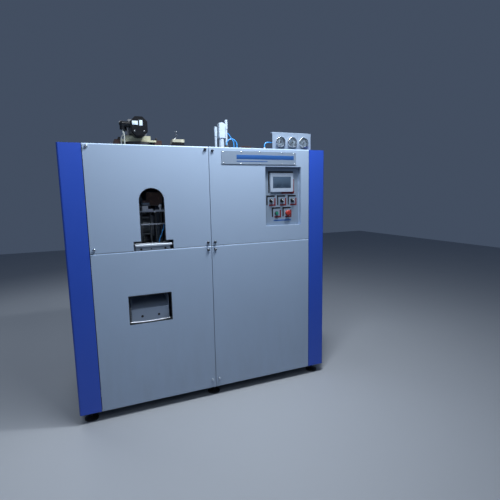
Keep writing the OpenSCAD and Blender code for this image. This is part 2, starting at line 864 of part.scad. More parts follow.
module cord_path(r, bend_r, turn, mid, drop) {
    cord_bend(r, bend_r, turn);
    translate([-bend_r * (1 - cos(turn)), 0, -bend_r * sin(turn)]) rotate([0, turn, 0]) {
        cord_run(r, mid - 0.5);
        translate([0, 0, -mid]) cord_joint(r);
    }
    translate([-swing_x(bend_r, turn, mid), 0, -swing_z(bend_r, turn, mid)]) {
        rotate([0, 180, 0]) cord_bend(r, bend_r, turn);
        cord_run(r, drop - swing_z(bend_r, turn, mid));
    }
}

// A screwed cord gland standing on a sheet
module gland(d) {
    cylinder(d = d, h = gland_h);
    cylinder(d = d + 4, h = 6, $fn = 6);
}

module index_motor() color("black") translate([index_x, motor_y0, drive_axis_z]) {
    rotate([-90, 0, 0]) linear_extrude(motor_l) octagon(motor_w, motor_h, 34);
    translate([0, -5, 0]) rotate([-90, 0, 0]) linear_extrude(5) octagon(motor_w - 14, motor_h - 14, 30);
    cord_drop = drive_axis_z - 24 - cabinet_h - gland_h;
    for (plug = [[20, 56], [64, 36]]) translate([-motor_w / 2, plug[0], 17]) {
        translate([3, 0, 0]) rotate([0, -90, 0]) cylinder(d = 38, h = plug[1] + 3);
        translate([-plug[1], 0, 0]) sphere(d = 42);
        translate([-plug[1], 0, -41]) cylinder(d = 34, h = 41);
    }
    translate([-motor_w / 2 - 56, 20, -24]) mirror([1, 0, 0]) {
        cord_swing(cable_r, 30, 25, 12, cord_drop + 6);
        translate([-swing_x(30, 25, 12), 0, -cord_drop - gland_h]) gland(14);
    }
    translate([-motor_w / 2 - 36, 64, -24]) {
        cord_swing(cable_r, 40, 35, 22, cord_drop + 6);
        translate([-swing_x(40, 35, 22), 0, -cord_drop - gland_h]) gland(12);
    }
}

module index_gearbox() color("silver") difference() {
    y0 = motor_y0 + motor_l;
    union() {
        translate([index_x, y0, drive_axis_z]) rotate([-90, 0, 0]) cylinder(d = 100, h = 20);
        block([index_x - 65, y0 + 20, drive_z], [index_x + 65, y0 + gearbox_l, drive_z + 120]);
    }
    translate([index_x, 0, drive_z - eps]) cylinder(d = shaft_d + 2 * run_gap, h = 100);
}

module carousel_bearing() color("dimgray") difference() {
    union() {
        translate([index_x, 0, bridge_z]) cylinder(d = bearing_d, h = plate_low_z - bridge_z);
        translate([index_x, 0, cabinet_h]) cylinder(d = 2 * riser_gap - 8, h = plate_low_z - cabinet_h);
    }
    translate([index_x, 0, bridge_z - eps]) cylinder(d = shaft_d + 2 * run_gap, h = 600);
}

hub_h = 56;
arm_t = 16;

module carousel() color("silver") translate([index_x, 0, arm_z - 4]) {
    cylinder(d = 170, h = hub_h);
    cylinder(d = shaft_d, h = drive_z + 90 - arm_z);
    for (a = [0:90:270]) rotate(a) {
        translate([70, -26, 4]) cube([arm_radius - 100, 52, arm_t]);
    }
}

neck_d = 28;
jaw_t = 8;
jaw_w = 60;
jaw_gap = 18;

// A pair of gripper jaws under the end of an arm, hollowed to hold a bottle's neck from both sides,
// with the upright plate beside the arm that works them
module gripper() {
    difference() {
        union() {
            translate([-62, -jaw_w / 2, -jaw_t]) cube([62, jaw_w, jaw_t]);
            translate([0, 0, -jaw_t]) cylinder(d = jaw_w - 6, h = jaw_t);
        }
        translate([0, 0, -jaw_t - eps]) cylinder(d = neck_d, h = jaw_t + 2 * eps);
        translate([-jaw_w - 5, -jaw_gap / 2, -jaw_t - eps]) cube([2 * jaw_w, jaw_gap, jaw_t + 2 * eps]);
    }
    translate([-52, -22, arm_t]) cube([22, 30, 18]);
    translate([-60, 8, arm_t]) cube([6, 92, 74]);
    translate([-60, 31, -6]) cube([6, 69, arm_t + 6]);
    translate([-84, 92, 10]) cube([24, 32, 80]);
}

module grippers() color("gainsboro") {
    for (a = [0:90:270]) {
        translate([index_x, 0, arm_z]) rotate(a) translate([arm_radius, 0, 0]) gripper();
    }
}

tie_places = [for (y = [-tie_y, tie_y], z = [-tie_z, tie_z]) [y, clamp_z + z]];

// Holes for the tie bars and the clamp rod, along X from x0
module clamp_holes(x0, length) {
    for (p = tie_places) {
        translate([x0, p[0], p[1]]) rod_along_x(tie_bar_d / 2 + run_gap, length);
    }
    translate([x0, 0, clamp_z]) rod_along_x(clamp_rod_d / 2 + run_gap, length);
}

// Mirrors its children about the blow station
module clamp_mirror() {
    translate([2 * station_x, 0, 0]) mirror([1, 0, 0]) children();
}

module end_plate() difference() {
    block([end_out, -platen_w / 2, bed_z], [end_face, platen_w / 2, bed_z + platen_h]);
    clamp_holes(end_out - eps, end_plate_t + 2 * eps);
}

module clamp_end_plates() color("slategray") {
    end_plate();
    clamp_mirror() end_plate();
}

module tie_bars() color("silver") {
    length = 2 * (station_x - end_out);
    for (p = tie_places) {
        translate([end_out - 30, p[0], p[1]]) rod_along_x(tie_bar_d / 2, length + 60);
        for (x = [end_out - 28, end_out + length]) {
            translate([x, p[0], p[1]]) rotate([0, 90, 0]) cylinder(d = 60, h = 28, $fn = 6);
        }
    }
}

module clamp_cylinder() difference() {
    x0 = end_out - cylinder_l;
    union() {
        translate([x0, 0, clamp_z]) rod_along_x(cylinder_d / 2, cylinder_l);
        for (x = [x0, end_out - 20]) {
            translate([x, -cylinder_d / 2 - 4, clamp_z - cylinder_d / 2 - 4]) {
                cube([20, cylinder_d + 8, cylinder_d + 8]);
            }
        }
        for (y = [-1, 1], z = [-1, 1]) {
            translate([x0 - 8, y * (cylinder_d / 2 - 10), clamp_z + z * (cylinder_d / 2 - 10)]) {
                rod_along_x(7, cylinder_l);
            }
        }
    }
    translate([x0 + 12, 0, clamp_z]) rod_along_x(clamp_rod_d / 2 + 6, cylinder_l);
}

module clamp_cylinders() color("gainsboro") {
    clamp_cylinder();
    clamp_mirror() clamp_cylinder();
}

module platen() {
    difference() {
        block([platen_face - platen_t, -platen_w / 2, mould_z - 3],
              [platen_face, platen_w / 2, bed_z + platen_h]);
        for (p = tie_places) {
            translate([platen_face - platen_t - eps, p[0], p[1]]) {
                rod_along_x(tie_bar_d / 2 + run_gap, platen_t + 2 * eps);
            }
        }
    }
    rod_end = end_out - cylinder_l + 20;
    translate([rod_end, 0, clamp_z]) rod_along_x(clamp_rod_d / 2, platen_face - platen_t - rod_end);
}

module left_platen() color("lightslategray") platen();
module right_platen() color("lightslategray") clamp_mirror() platen();

mould_top = arm_z - 14;
cavity_base = mould_top - 215;

// The bottle's outline from its axis outwards
module bottle_outline() {
    r = bottle_d / 2;
    neck_r = 14;
    shoulder = mould_top - cavity_base - 50;
    polygon([
        [0, 0], [r - 8, 0], [r, 8], [r, shoulder * 0.45], [r - 4, shoulder * 0.5], [r, shoulder * 0.55],
        [r, shoulder], [neck_r, shoulder + 32], [neck_r, shoulder + 60], [0, shoulder + 60]
    ]);
}

module mould() difference() {
    block([platen_face, -mould_w / 2, mould_z], [mould_face, mould_w / 2, mould_top]);
    translate([mould_face, 0, cavity_base]) rotate_extrude() bottle_outline();
    for (y = [-1, 1], z = [-1, 1]) {
        translate([mould_face - 18, y * (mould_w / 2 - 25), clamp_z + z * 120]) rod_along_x(8 + run_gap, 20);
    }
}

module left_mould() color("silver") mould();
module right_mould() color("silver") clamp_mirror() mould();

bridge_xs = [station_x + 150, station_x + 260];
bridge_y = 230;

module blow_bridge() color("slategray") {
    difference() {
        block([station_x - 75, -bridge_y - 40, bridge_z], [bridge_xs[1] + 40, bridge_y + 40, bridge_top]);
        translate([station_x, 0, bridge_z - eps]) cylinder(d = nozzle_d + 2 * run_gap, h = bridge_t + 2 * eps);
    }
    for (x = bridge_xs, y = [-bridge_y, bridge_y]) {
        translate([x, y, bed_z]) {
            cylinder(d = 50, h = bridge_z - bed_z);
            cylinder(d = 80, h = 12);
        }
    }
}

module blow_head() color("gainsboro") translate([station_x, 0, bridge_top]) difference() {
    translate([0, 0, head_h / 2]) cube([130, 130, head_h], center = true);
    translate([0, 0, -eps]) cylinder(d = nozzle_d + 2 * run_gap, h = head_h + 2 * eps);
}

module blow_nozzle() color("silver") translate([station_x, 0, nozzle_tip_z]) difference() {
    union() {
        cylinder(d1 = 40, d2 = nozzle_d, h = 8);
        translate([0, 0, 8]) cylinder(d = nozzle_d, h = bridge_top + head_h - nozzle_tip_z - 10);
    }
    translate([0, 0, -eps]) cylinder(d = stretch_rod_d + 2 * run_gap, h = 200);
}

module stretch_cylinder() {
    color("gainsboro") translate([station_x, 0, bridge_top + head_h]) difference() {
        length = barrel_top - bridge_top - head_h;
        union() {
            cylinder(d = barrel_d, h = length);
            cylinder(d = 110, h = 16);
            translate([-43, -45, length]) cube([93, 90, 23]);
            translate([0, 0, length + 23]) cylinder(d1 = 44, d2 = 26, h = 14);
            translate([0, 0, length + 37]) cylinder(d = 18, h = 24);
            translate([0, 0, length + 61]) cylinder(d = 26, h = 25);
            translate([0, 40, cabinet_h - bridge_top - head_h]) rotate([90, 0, 0]) linear_extrude(80) {
                foot_t = barrel_top - cabinet_h;
                polygon([[-92, 0], [50, 0], [50, foot_t], [-46, foot_t]]);
            }
        }
        translate([0, 0, 16]) cylinder(d = barrel_d - 15, h = length - 24);
        translate([0, 0, -eps]) cylinder(d = stretch_rod_d + 2 * run_gap, h = 40);
    }
}

piston_h = 16;

module stretch_rod() color("silver") translate([station_x, 0, 0]) {
    piston_z = bridge_top + head_h + 20 + stretch_travel;
    translate([0, 0, nozzle_tip_z + 4]) cylinder(d = stretch_rod_d, h = piston_z - nozzle_tip_z);
    translate([0, 0, piston_z]) cylinder(d = barrel_d - 15 - 2 * run_gap, h = piston_h);
    translate([0, 0, nozzle_tip_z + 4]) sphere(d = stretch_rod_d);
}

lift_top = cabinet_h + 262;
lift_neck_z = cabinet_h + 139;
lift_rod_tops = [cabinet_h + 227, cabinet_h + 287];
lift_head_h = 75;
lift_piston_d = 20;
cap_d = 44;
cap_h = 35;
low_tube_y = -58;

module infeed_cylinder() color("white") translate([lift_x, 0, 0]) difference() {
    union() {
        block([-100, -80, lift_block_z], [100, 50, lift_block_z + lift_block_h]);
        translate([0, 0, lift_block_z]) cylinder(d = 42, h = lift_neck_z - lift_block_z);
        translate([0, 0, lift_neck_z]) linear_extrude(lift_top - 8 - lift_neck_z) {
            round_rect(lift_body_w, lift_body_w, 4);
        }
        translate([0, 0, lift_top - 8]) cylinder(d1 = lift_body_w - 2, d2 = lift_body_w - 16, h = 8);
        translate([22, low_tube_y, lift_block_z + lift_block_h]) {
            cylinder(d = cap_d, h = cap_h - 15);
            translate([0, 0, cap_h - 15]) cylinder(d1 = cap_d, d2 = cap_d - 20, h = 15);
        }
    }
    for (x = lift_rod_xs) {
        translate([x, 0, lift_block_z - eps]) {
            cylinder(d = lift_rod_d + 2 * run_gap, h = lift_block_h + 2 * eps);
        }
    }
    translate([0, 0, lift_block_z - eps]) {
        cylinder(d = lift_piston_d + 2 * run_gap, h = lift_top - lift_block_z - 20);
    }
}

module infeed_lift() color("silver") translate([lift_x, 0, lift_plate_z]) {
    for (i = [0, 1]) translate([lift_rod_xs[i], 0, 0]) {
        length = lift_rod_tops[i] - lift_plate_z;
        cylinder(d = lift_rod_d, h = length - lift_head_h);
        translate([0, 0, length - lift_head_h]) cylinder(d = lift_rod_d + 6, h = lift_head_h);
    }
    cylinder(d = lift_piston_d, h = lift_top - 32 - lift_plate_z);
    translate([-70, -40, -20]) cube([140, 80, 20]);
    translate([0, 0, -80]) cylinder(d = 36, h = 60);
    translate([0, 0, -110]) cylinder(d1 = 22, d2 = 36, h = 30);
}

oven_y = arm_radius;
oven_l = 190;
oven_top = arm_z - 15;

module oven() color("silver") translate([index_x, oven_y, 0]) {
    difference() {
        translate([-oven_l / 2, 58, bed_z]) cube([oven_l, 50, oven_top - bed_z]);
        translate([-oven_l / 2 + 6, 50, bed_z + 120]) cube([oven_l - 12, 28, oven_top - bed_z - 126]);
    }
    translate([-oven_l / 2, -97, bed_z]) cube([oven_l, 30, oven_top - bed_z]);
    for (i = [0:4]) {
        translate([-oven_l / 2, 68, bed_z + 145 + i * 38]) rod_along_x(6, oven_l);
    }
}

cabinet_w = 520;
cabinet_d = 380;
cabinet_tall = bed_under - base_top - 155;

module control_cabinet() color("lightgray") translate([230, -60, base_top]) {
    difference() {
        cube([cabinet_w, cabinet_d, cabinet_tall]);
        translate([sheet_t, -eps, sheet_t]) {
            cube([cabinet_w - 2 * sheet_t, cabinet_d - sheet_t + eps, cabinet_tall - 2 * sheet_t]);
        }
    }
    translate([0, -20, 0]) pan(cabinet_w, cabinet_tall, 20);
    translate([24, -26, cabinet_tall / 2 - 40]) cube([18, 6, 80]);
}

guide_y = drop_y - drop_d / 2 - 17;
guide_xs = [-50, 11, 48, 84];
guide_h = arm_rise - 46;

// The fence in front of the drop hole that keeps a falling bottle over the hole
module outfeed_guide() color("silver") translate([drop_x, guide_y, bed_z]) {
    for (x = guide_xs) translate([x, 0, 0]) {
        cylinder(d = 10, h = guide_h);
        cylinder(d = 24, h = 6);
    }
    block([-58, -6, guide_h], [104, 6, guide_h + 8]);
    block([-56, -8, guide_h - 88], [108, 8, guide_h - 80]);
    block([-16, -14, guide_h + 8], [28, 10, guide_h + 20]);
    block([46, -14, guide_h + 8], [104, 8, guide_h + 14]);
    translate([81, 0, guide_h + 14]) cylinder(d = 12, h = 20);
    translate([81, 0, guide_h + 30]) cylinder(d1 = 20, d2 = 26, h = 8);
    translate([81, 0, guide_h + 38]) cylinder(d1 = 26, d2 = 16, h = 12);
}

tube_r = 4;
port_z = lift_top - 74;

// A tube bend in the XZ plane from the origin: it leads towards +X and turns down by the angle
module tube_bend(bend_r, turn) {
    translate([0, 0, -bend_r]) rotate([0, turn - 90, 0]) rotate([90, 0, 0]) {
        rotate_extrude(angle = turn) translate([bend_r, 0]) circle(tube_r);
    }
}

// The tube from the lift's port behind its right rod down to the cover
module lift_tube() translate([lift_x + lift_body_w / 2, 20, port_z]) {
    steep = 55;
    r = 40;
    mid = 58;
    rod_along_x(6, 12);
    rod_along_x(tube_r, 15.5);
    translate([14, 0, 0]) rod_along_x(tube_r + 0.7, 4);
    translate([16, 0, 0]) tube_bend(r, steep);
    x1 = 16 + r * sin(steep);
    z1 = -r * (1 - cos(steep));
    translate([x1, 0, z1]) rotate([0, steep - 90, 0]) {
        cord_run(tube_r, mid - 0.5);
        translate([0, 0, -mid]) cord_joint(tube_r);
    }
    x2 = x1 + mid * cos(steep);
    z2 = z1 - mid * sin(steep);
    translate([x2, 0, z2]) rotate([0, steep, 0]) tube_bend(r, 90 - steep);
    x3 = x2 + r * (1 - sin(steep));
    z3 = z2 - r * cos(steep);
    tail = port_z + z3 - cabinet_h - gland_h;
    translate([x3, 0, z3]) cord_run(tube_r, tail + 6);
    translate([x3, 0, z3 - tail - gland_h]) gland(16);
}

// The tube that arches from the cap on the lift's block down to the cover
module cap_tube() {
    r = 46;
    x0 = lift_x + 22;
    z0 = lift_block_z + lift_block_h + cap_h;
    translate([x0, low_tube_y, z0]) cylinder(d = 14, h = 6);
    translate([x0, low_tube_y, z0 + 6]) {
        cord_joint(tube_r);
        rotate([0, -90, 0]) tube_bend(r, 180);
    }
    translate([x0 + 2 * r, low_tube_y, z0 + 6]) cord_run(tube_r, z0 + 12 - cabinet_h - gland_h);
    translate([x0 + 2 * r, low_tube_y, cabinet_h]) gland(16);
}

// The tubes that feed the three gauges from behind
module gauge_tubes() {
    y = gauge_y + 42;
    r = gauge_z - cabinet_h - gland_h - 12;
    x0 = gauge_places[0][0] - 8;
    run = 78;
    translate([x0 - run + 0.5, y, gauge_z]) rod_along_x(tube_r, run - 0.5);
    translate([x0 - run - 2, y, gauge_z]) rod_along_x(tube_r + 0.7, 4);
    translate([x0 - run, y, gauge_z]) mirror([1, 0, 0]) tube_bend(r, 90);
    translate([x0 - run - r, y, gauge_z - r]) cord_run(tube_r, 18);
    translate([x0 - run - r, y, cabinet_h]) gland(14);
    for (i = [1, 2]) translate([gauge_places[i][0], y, cabinet_h]) {
        gland(14);
        translate([0, 0, gland_h - 6]) cylinder(r = tube_r, h = gauge_z - 2 - cabinet_h - gland_h);
    }
}

// The tube that hangs from the guide fence down to the bed behind the window
module guide_tube() translate([drop_x + 102, guide_y, bed_z + guide_h - 88]) {
    drop = guide_h - 88 - gland_h;
    rotate(40) {
        cord_swing(tube_r, 60, 32, 80, drop + 6);
        translate([-swing_x(60, 32, 80), 0, -drop - gland_h]) gland(14);
    }
}

module air_tubes() color("deepskyblue") {
    lift_tube();
    cap_tube();
    gauge_tubes();
    guide_tube();
}

levelling_feet();
frame_posts();
frame_rails();
machine_bed();
corner_columns();
side_panels();
rear_panels();
top_cover();
window_panel();
window_panel_screws();
window_sill();
bottle_chute();
hinge_brackets();
outlet_door();
outlet_door_screws();
control_door();
control_door_screws();
control_plate();
control_brackets();
name_plate();
touch_screen();
switch_bodies();
selector_left();
selector_middle();
selector_right();
start_button();
emergency_stop();
service_door();
service_door_screws();
gauge_bracket();
gauge_cases();
gauge_glasses();
gauge_needle_left();
gauge_needle_middle();
gauge_needle_right();
motor_risers();
motor_plates();
index_motor();
index_gearbox();
carousel_bearing();
carousel();
grippers();
clamp_end_plates();
tie_bars();
clamp_cylinders();
left_platen();
right_platen();
left_mould();
right_mould();
blow_bridge();
blow_head();
blow_nozzle();
stretch_cylinder();
stretch_rod();
infeed_cylinder();
infeed_lift();
oven();
control_cabinet();
outfeed_guide();
air_tubes();
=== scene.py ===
"""Looks of a bottle blow moulding machine: finishes on every CAD node, plus the fine pieces round them."""
import json
import math

import bmesh
import bpy
from mathutils import Matrix, Vector


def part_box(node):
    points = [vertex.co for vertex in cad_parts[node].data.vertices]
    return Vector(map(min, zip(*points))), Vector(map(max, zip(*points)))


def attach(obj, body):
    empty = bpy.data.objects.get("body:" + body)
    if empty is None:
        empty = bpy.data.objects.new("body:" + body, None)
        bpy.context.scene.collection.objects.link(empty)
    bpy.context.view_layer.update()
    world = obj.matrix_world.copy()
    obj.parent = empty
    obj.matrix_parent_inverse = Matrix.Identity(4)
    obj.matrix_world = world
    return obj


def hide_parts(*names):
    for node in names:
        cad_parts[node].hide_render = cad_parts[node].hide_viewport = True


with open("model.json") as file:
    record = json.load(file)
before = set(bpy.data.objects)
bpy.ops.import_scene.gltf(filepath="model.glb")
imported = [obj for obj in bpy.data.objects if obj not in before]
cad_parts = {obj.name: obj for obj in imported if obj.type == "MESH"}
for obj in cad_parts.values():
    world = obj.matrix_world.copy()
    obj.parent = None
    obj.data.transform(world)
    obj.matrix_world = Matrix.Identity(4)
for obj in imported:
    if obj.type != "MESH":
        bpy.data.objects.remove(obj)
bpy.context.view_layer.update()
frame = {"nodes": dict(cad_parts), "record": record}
nodes = frame["nodes"]
MM = 0.001


class Value:
    """A socket of a material, with Python's operators adding Math nodes."""

    def __init__(self, finish, socket):
        self.finish = finish
        self.socket = socket

    def math(self, operation, *others, clamp=False):
        settings = {"operation": operation, "use_clamp": clamp}
        sockets = dict(enumerate((self,) + others))
        return self.finish.add("ShaderNodeMath", settings, sockets)

    def __add__(self, other):
        return self.math("ADD", other)

    def __sub__(self, other):
        return self.math("SUBTRACT", other)

    def __rsub__(self, other):
        return self.finish.add("ShaderNodeMath", {"operation": "SUBTRACT"}, {0: other, 1: self})

    def __mul__(self, other):
        return self.math("MULTIPLY", other)

    def __truediv__(self, other):
        return self.math("DIVIDE", other)

    def above(self, edge, width):
        """0 below the edge, 1 above it, with a soft step of that width."""
        return ((self - edge) / width + 0.5).math("ADD", 0.0, clamp=True)

    def below(self, edge, width):
        """1 below the edge, 0 above it, with the same soft step."""
        return 1 - self.above(edge, width)


class Finish:
    """A material under construction: add() makes any node, and the named methods the common ones."""

    def __init__(self, name, colour, roughness, metallic=0.0, **fixed):
        self.material = bpy.data.materials.new(name)
        self.material.use_nodes = True
        self.tree = self.material.node_tree
        self.shader = self.tree.nodes["Principled BSDF"]
        self.put("Base Color", (*colour, 1))
        self.put("Roughness", roughness)
        self.put("Metallic", metallic)
        for key, value in fixed.items():
            self.put(key.replace("_", " ").title().replace("Ior", "IOR"), value)
        self.place = self.add("ShaderNodeTexCoord", out="Object")
        xyz = self.add("ShaderNodeSeparateXYZ", sockets={0: self.place})
        self.z = Value(self, xyz.socket.node.outputs[2])

    def feed(self, socket, value):
        if isinstance(value, Value):
            self.tree.links.new(value.socket, socket)
        else:
            socket.default_value = value

    def add(self, kind, settings=None, sockets=None, out=0):
        node = self.tree.nodes.new(kind)
        for name, value in (settings or {}).items():
            setattr(node, name, value)
        for name, value in (sockets or {}).items():
            self.feed(node.inputs[name], value)
        return Value(self, node.outputs[out])

    def put(self, name, value):
        self.feed(self.shader.inputs[name], value)

    def noise(self, size, detail=3.0, roughness=0.5, along=(1, 1, 1)):
        """Noise with blobs about size metres across, stretched along an axis where along is under 1."""
        settings = {"vector_type": "POINT"}
        place = self.add("ShaderNodeMapping", settings, {"Vector": self.place, "Scale": along})
        sockets = {"Vector": place, "Scale": 1 / size, "Detail": detail, "Roughness": roughness}
        return self.add("ShaderNodeTexNoise", None, sockets)

    def mix(self, factor, a, b):
        """From a, a value or an (r, g, b) tuple, to the tuple b."""
        settings = {"data_type": "RGBA", "blend_type": "MIX", "clamp_factor": True}
        a = a if isinstance(a, Value) else (*a, 1)
        return self.add("ShaderNodeMix", settings, {0: factor, 6: a, 7: (*b, 1)}, out=2)

    def bump(self, height, distance, strength):
        sockets = {"Height": height, "Distance": distance, "Strength": strength}
        self.put("Normal", self.add("ShaderNodeBump", None, sockets))


def tinted(colour, factor):
    return tuple(min(1.0, c * factor) for c in colour)


DUST = (0.19, 0.18, 0.17)


def powder_coat(name, colour, dirt=0.35, gloss=0.34, shine=0.5):
    """Sprayed powder coat: fine orange peel, faint clouding, small scuffs and dust towards the floor."""
    f = Finish(name, colour, gloss, coat_weight=0.12, coat_roughness=0.25, specular_ior_level=shine)
    cloud = f.noise(0.35, 2.0)
    wipe = f.noise(0.05, 4.0, along=(1, 1, 0.25))
    base = f.mix(cloud * 0.5 + 0.15, tinted(colour, 0.93), tinted(colour, 1.06))
    dusty = f.z.below(0.45, 0.9) * dirt * (wipe * 0.8 + 0.25)
    base = f.mix(dusty, base, DUST)
    scuffs = f.noise(0.03, 5.0, 0.62).above(0.735, 0.03) * f.noise(0.4, 1.0).above(0.55, 0.1)
    f.put("Base Color", f.mix(scuffs * 0.45, base, tinted(colour, 0.45)))
    f.put("Roughness", wipe * 0.16 + (gloss - 0.06) + dusty * 0.3)
    f.bump(f.noise(0.0035, 2.0) + f.noise(0.25, 1.0) * 1.5, 0.00025, 0.35)
    return f.material


def brushed(name, colour, roughness, metallic=1.0):
    """Rolled or ground metal with fine lines along X and faint stains."""
    f = Finish(name, colour, roughness, metallic)
    lines = f.noise(0.0012, 2.0, along=(0.02, 1, 1))
    stains = f.noise(0.06, 3.0)
    f.put("Base Color", f.mix(stains * 0.25, colour, tinted(colour, 0.6)))
    f.put("Roughness", lines * 0.22 + stains * 0.12 + (roughness - 0.17))
    f.bump(lines, 0.00008, 0.4)
    return f.material


def machined(name, colour, roughness=0.28, metallic=1.0):
    """Milled or turned metal with a fine, even tool mark."""
    f = Finish(name, colour, roughness, metallic)
    marks = f.noise(0.0009, 2.0, along=(1, 1, 0.15))
    oil = f.noise(0.04, 3.0)
    f.put("Base Color", f.mix(oil * 0.4, colour, tinted(colour, 0.72)))
    f.put("Roughness", marks * 0.15 + oil * 0.18 + (roughness - 0.12))
    f.bump(marks, 0.00006, 0.35)
    return f.material


def polished(name, colour, roughness=0.07):
    """Plated or polished metal with a faint haze."""
    f = Finish(name, colour, roughness, 1.0)
    haze = f.noise(0.02, 3.0)
    f.put("Roughness", haze * 0.1 + roughness)
    f.put("Base Color", f.mix(haze * 0.3, colour, tinted(colour, 0.85)))
    return f.material


def moulded(name, colour, roughness=0.38, shine=0.5):
    """Moulded plastic with a fine spark-eroded grain."""
    f = Finish(name, colour, roughness, specular_ior_level=shine)
    grain = f.noise(0.0006, 2.0)
    cloud = f.noise(0.03, 2.0)
    f.put("Base Color", f.mix(cloud * 0.5, tinted(colour, 0.85), tinted(colour, 1.15)))
    f.put("Roughness", cloud * 0.1 + (roughness - 0.05))
    f.bump(grain, 0.00005, 0.4)
    return f.material


def cast_paint(name, colour, roughness=0.5, shine=0.3):
    """Paint over a sand casting or a rough machined block, with chipped and greasy patches."""
    f = Finish(name, colour, roughness, specular_ior_level=shine)
    pits = f.noise(0.003, 4.0)
    patches = f.noise(0.03, 4.0)
    worn = patches.above(0.62, 0.08)
    f.put("Base Color", f.mix(worn * 0.5, colour, tinted(colour, 1.9)))
    f.put("Roughness", pits * 0.2 + (roughness - 0.1))
    f.bump(pits, 0.0004, 0.5)
    return f.material


PANEL = (0.325, 0.425, 0.575)
BLUE = (0.028, 0.085, 0.49)
ALLOY = (0.72, 0.76, 0.80)
STEEL = (0.52, 0.55, 0.60)

# The finish of every material slot that the CAD nodes name
finishes = {
    "panel_grey": powder_coat("panel_powder_coat", PANEL),
    "column_blue": powder_coat("column_powder_coat", BLUE, dirt=0.08, gloss=0.4, shine=0.25),
    "frame_paint": powder_coat("frame_black_paint", (0.02, 0.021, 0.024), dirt=0.6),
    "feet_steel": cast_paint("foot_black_paint", (0.02, 0.02, 0.022)),
    "bed_steel": machined("bed_ground_steel", STEEL),
    "screw_steel": polished("screw_plating", (0.13, 0.14, 0.16), 0.24),
    "sill_steel": brushed("folded_stainless", (0.58, 0.66, 0.76), 0.36, metallic=0.35),
    "zinc_steel": brushed("zinc_plating", (0.62, 0.63, 0.62), 0.4),
    "control_plate": brushed("satin_control_plate", (0.27, 0.35, 0.46), 0.42, metallic=0.35),
    "name_plate": brushed("name_plate_metal", (0.32, 0.41, 0.54), 0.34, metallic=0.4),
    "screen_bezel": moulded("screen_bezel_plastic", (0.36, 0.44, 0.56)),
    "switch_bezel": moulded("switch_bezel_plastic", (0.05, 0.055, 0.06)),
    "selector_black": moulded("selector_plastic", (0.012, 0.012, 0.014), 0.28),
    "button_green": moulded("green_button_plastic", (0.012, 0.21, 0.135), 0.3),
    "stop_red": moulded("stop_button_plastic", (0.34, 0.03, 0.024), 0.45, shine=0.3),
    "bracket_print": moulded("bracket_film", (0.012, 0.012, 0.014), 0.3),
    "gauge_chrome": polished("gauge_chrome", (0.86, 0.88, 0.9), 0.13),
    "needle_black": moulded("needle_paint", (0.01, 0.01, 0.01)),
    "riser_brown": cast_paint("red_oxide_primer", (0.028, 0.012, 0.010), 0.6),
    "plate_cream": cast_paint("cream_passivate", (0.34, 0.34, 0.24), 0.45),
    "motor_black": cast_paint("servo_black", (0.005, 0.006, 0.008), 0.36, 0.16),
    "gearbox_grey": cast_paint("gearbox_casting", (0.12, 0.13, 0.145), 0.5),
    "bearing_black": cast_paint("bearing_casting", (0.02, 0.02, 0.023), 0.5),
    "carousel_alloy": machined("carousel_alloy", ALLOY),
    "gripper_steel": machined("gripper_steel", (0.62, 0.67, 0.75), 0.3, 0.35),
    "end_plate": cast_paint("clamp_plate_paint", (0.12, 0.15, 0.2), 0.45),
    "tie_bar_chrome": polished("hard_chrome", (0.8, 0.82, 0.85)),
    "cylinder_alloy": machined("cylinder_anodise", (0.66, 0.69, 0.73), 0.35),
    "platen_steel": machined("platen_steel", (0.42, 0.45, 0.5), 0.34),
    "mould_alloy": machined("mould_alloy", (0.7, 0.73, 0.78), 0.2),
    "lift_white": moulded("bright_anodised_profile", (0.40, 0.48, 0.57), 0.3),
    "oven_reflector": brushed("oven_reflector", (0.72, 0.7, 0.66), 0.25),
    "cabinet_grey": powder_coat("cabinet_powder_coat", (0.52, 0.54, 0.55)),
    "tube_blue": moulded("blue_air_tube", (0.045, 0.29, 0.72), 0.25),
    "guide_steel": machined("guide_fence_steel", (0.66, 0.72, 0.82), 0.34, 0.3),
}

# The finishes of single faces and added pieces
# A lighter copy of the panel paint: a painted highlight along the top bends, where they catch the light
bend_highlight = powder_coat("painted_bend_highlight_coat", tinted(PANEL, 1.6), dirt=0.0)
chute_paint = powder_coat("chute_powder_coat", (0.27, 0.335, 0.44), dirt=0.0, gloss=0.5, shine=0.2)
plate_brown = cast_paint("brown_plate_lacquer", (0.50, 0.33, 0.27), 0.5, 0.3)
# A darker copy of the panel paint: painted shade on the brightly lit gauge bracket
bracket_shade_paint = powder_coat("gauge_bracket_painted_shade", tinted(PANEL, 0.70), dirt=0.0)
# Bright zinc for the guide's knob, block and screw, also a painted highlight on the chute's rim
zinc_and_rim_highlight = machined("bright_zinc_and_rim_highlight", (0.85, 0.90, 0.98), 0.3, 0.15)
# Darker steel for the sill's face under its lip: painted shade of the lip's shadow
sill_face_shade = brushed("shaded_stainless", (0.30, 0.36, 0.44), 0.4, metallic=0.3)
rod_dark = machined("oiled_rod", (0.10, 0.11, 0.12), 0.4, 0.6)
stripe_blue = moulded("blue_stripe_film", (0.03, 0.11, 0.34), 0.35)
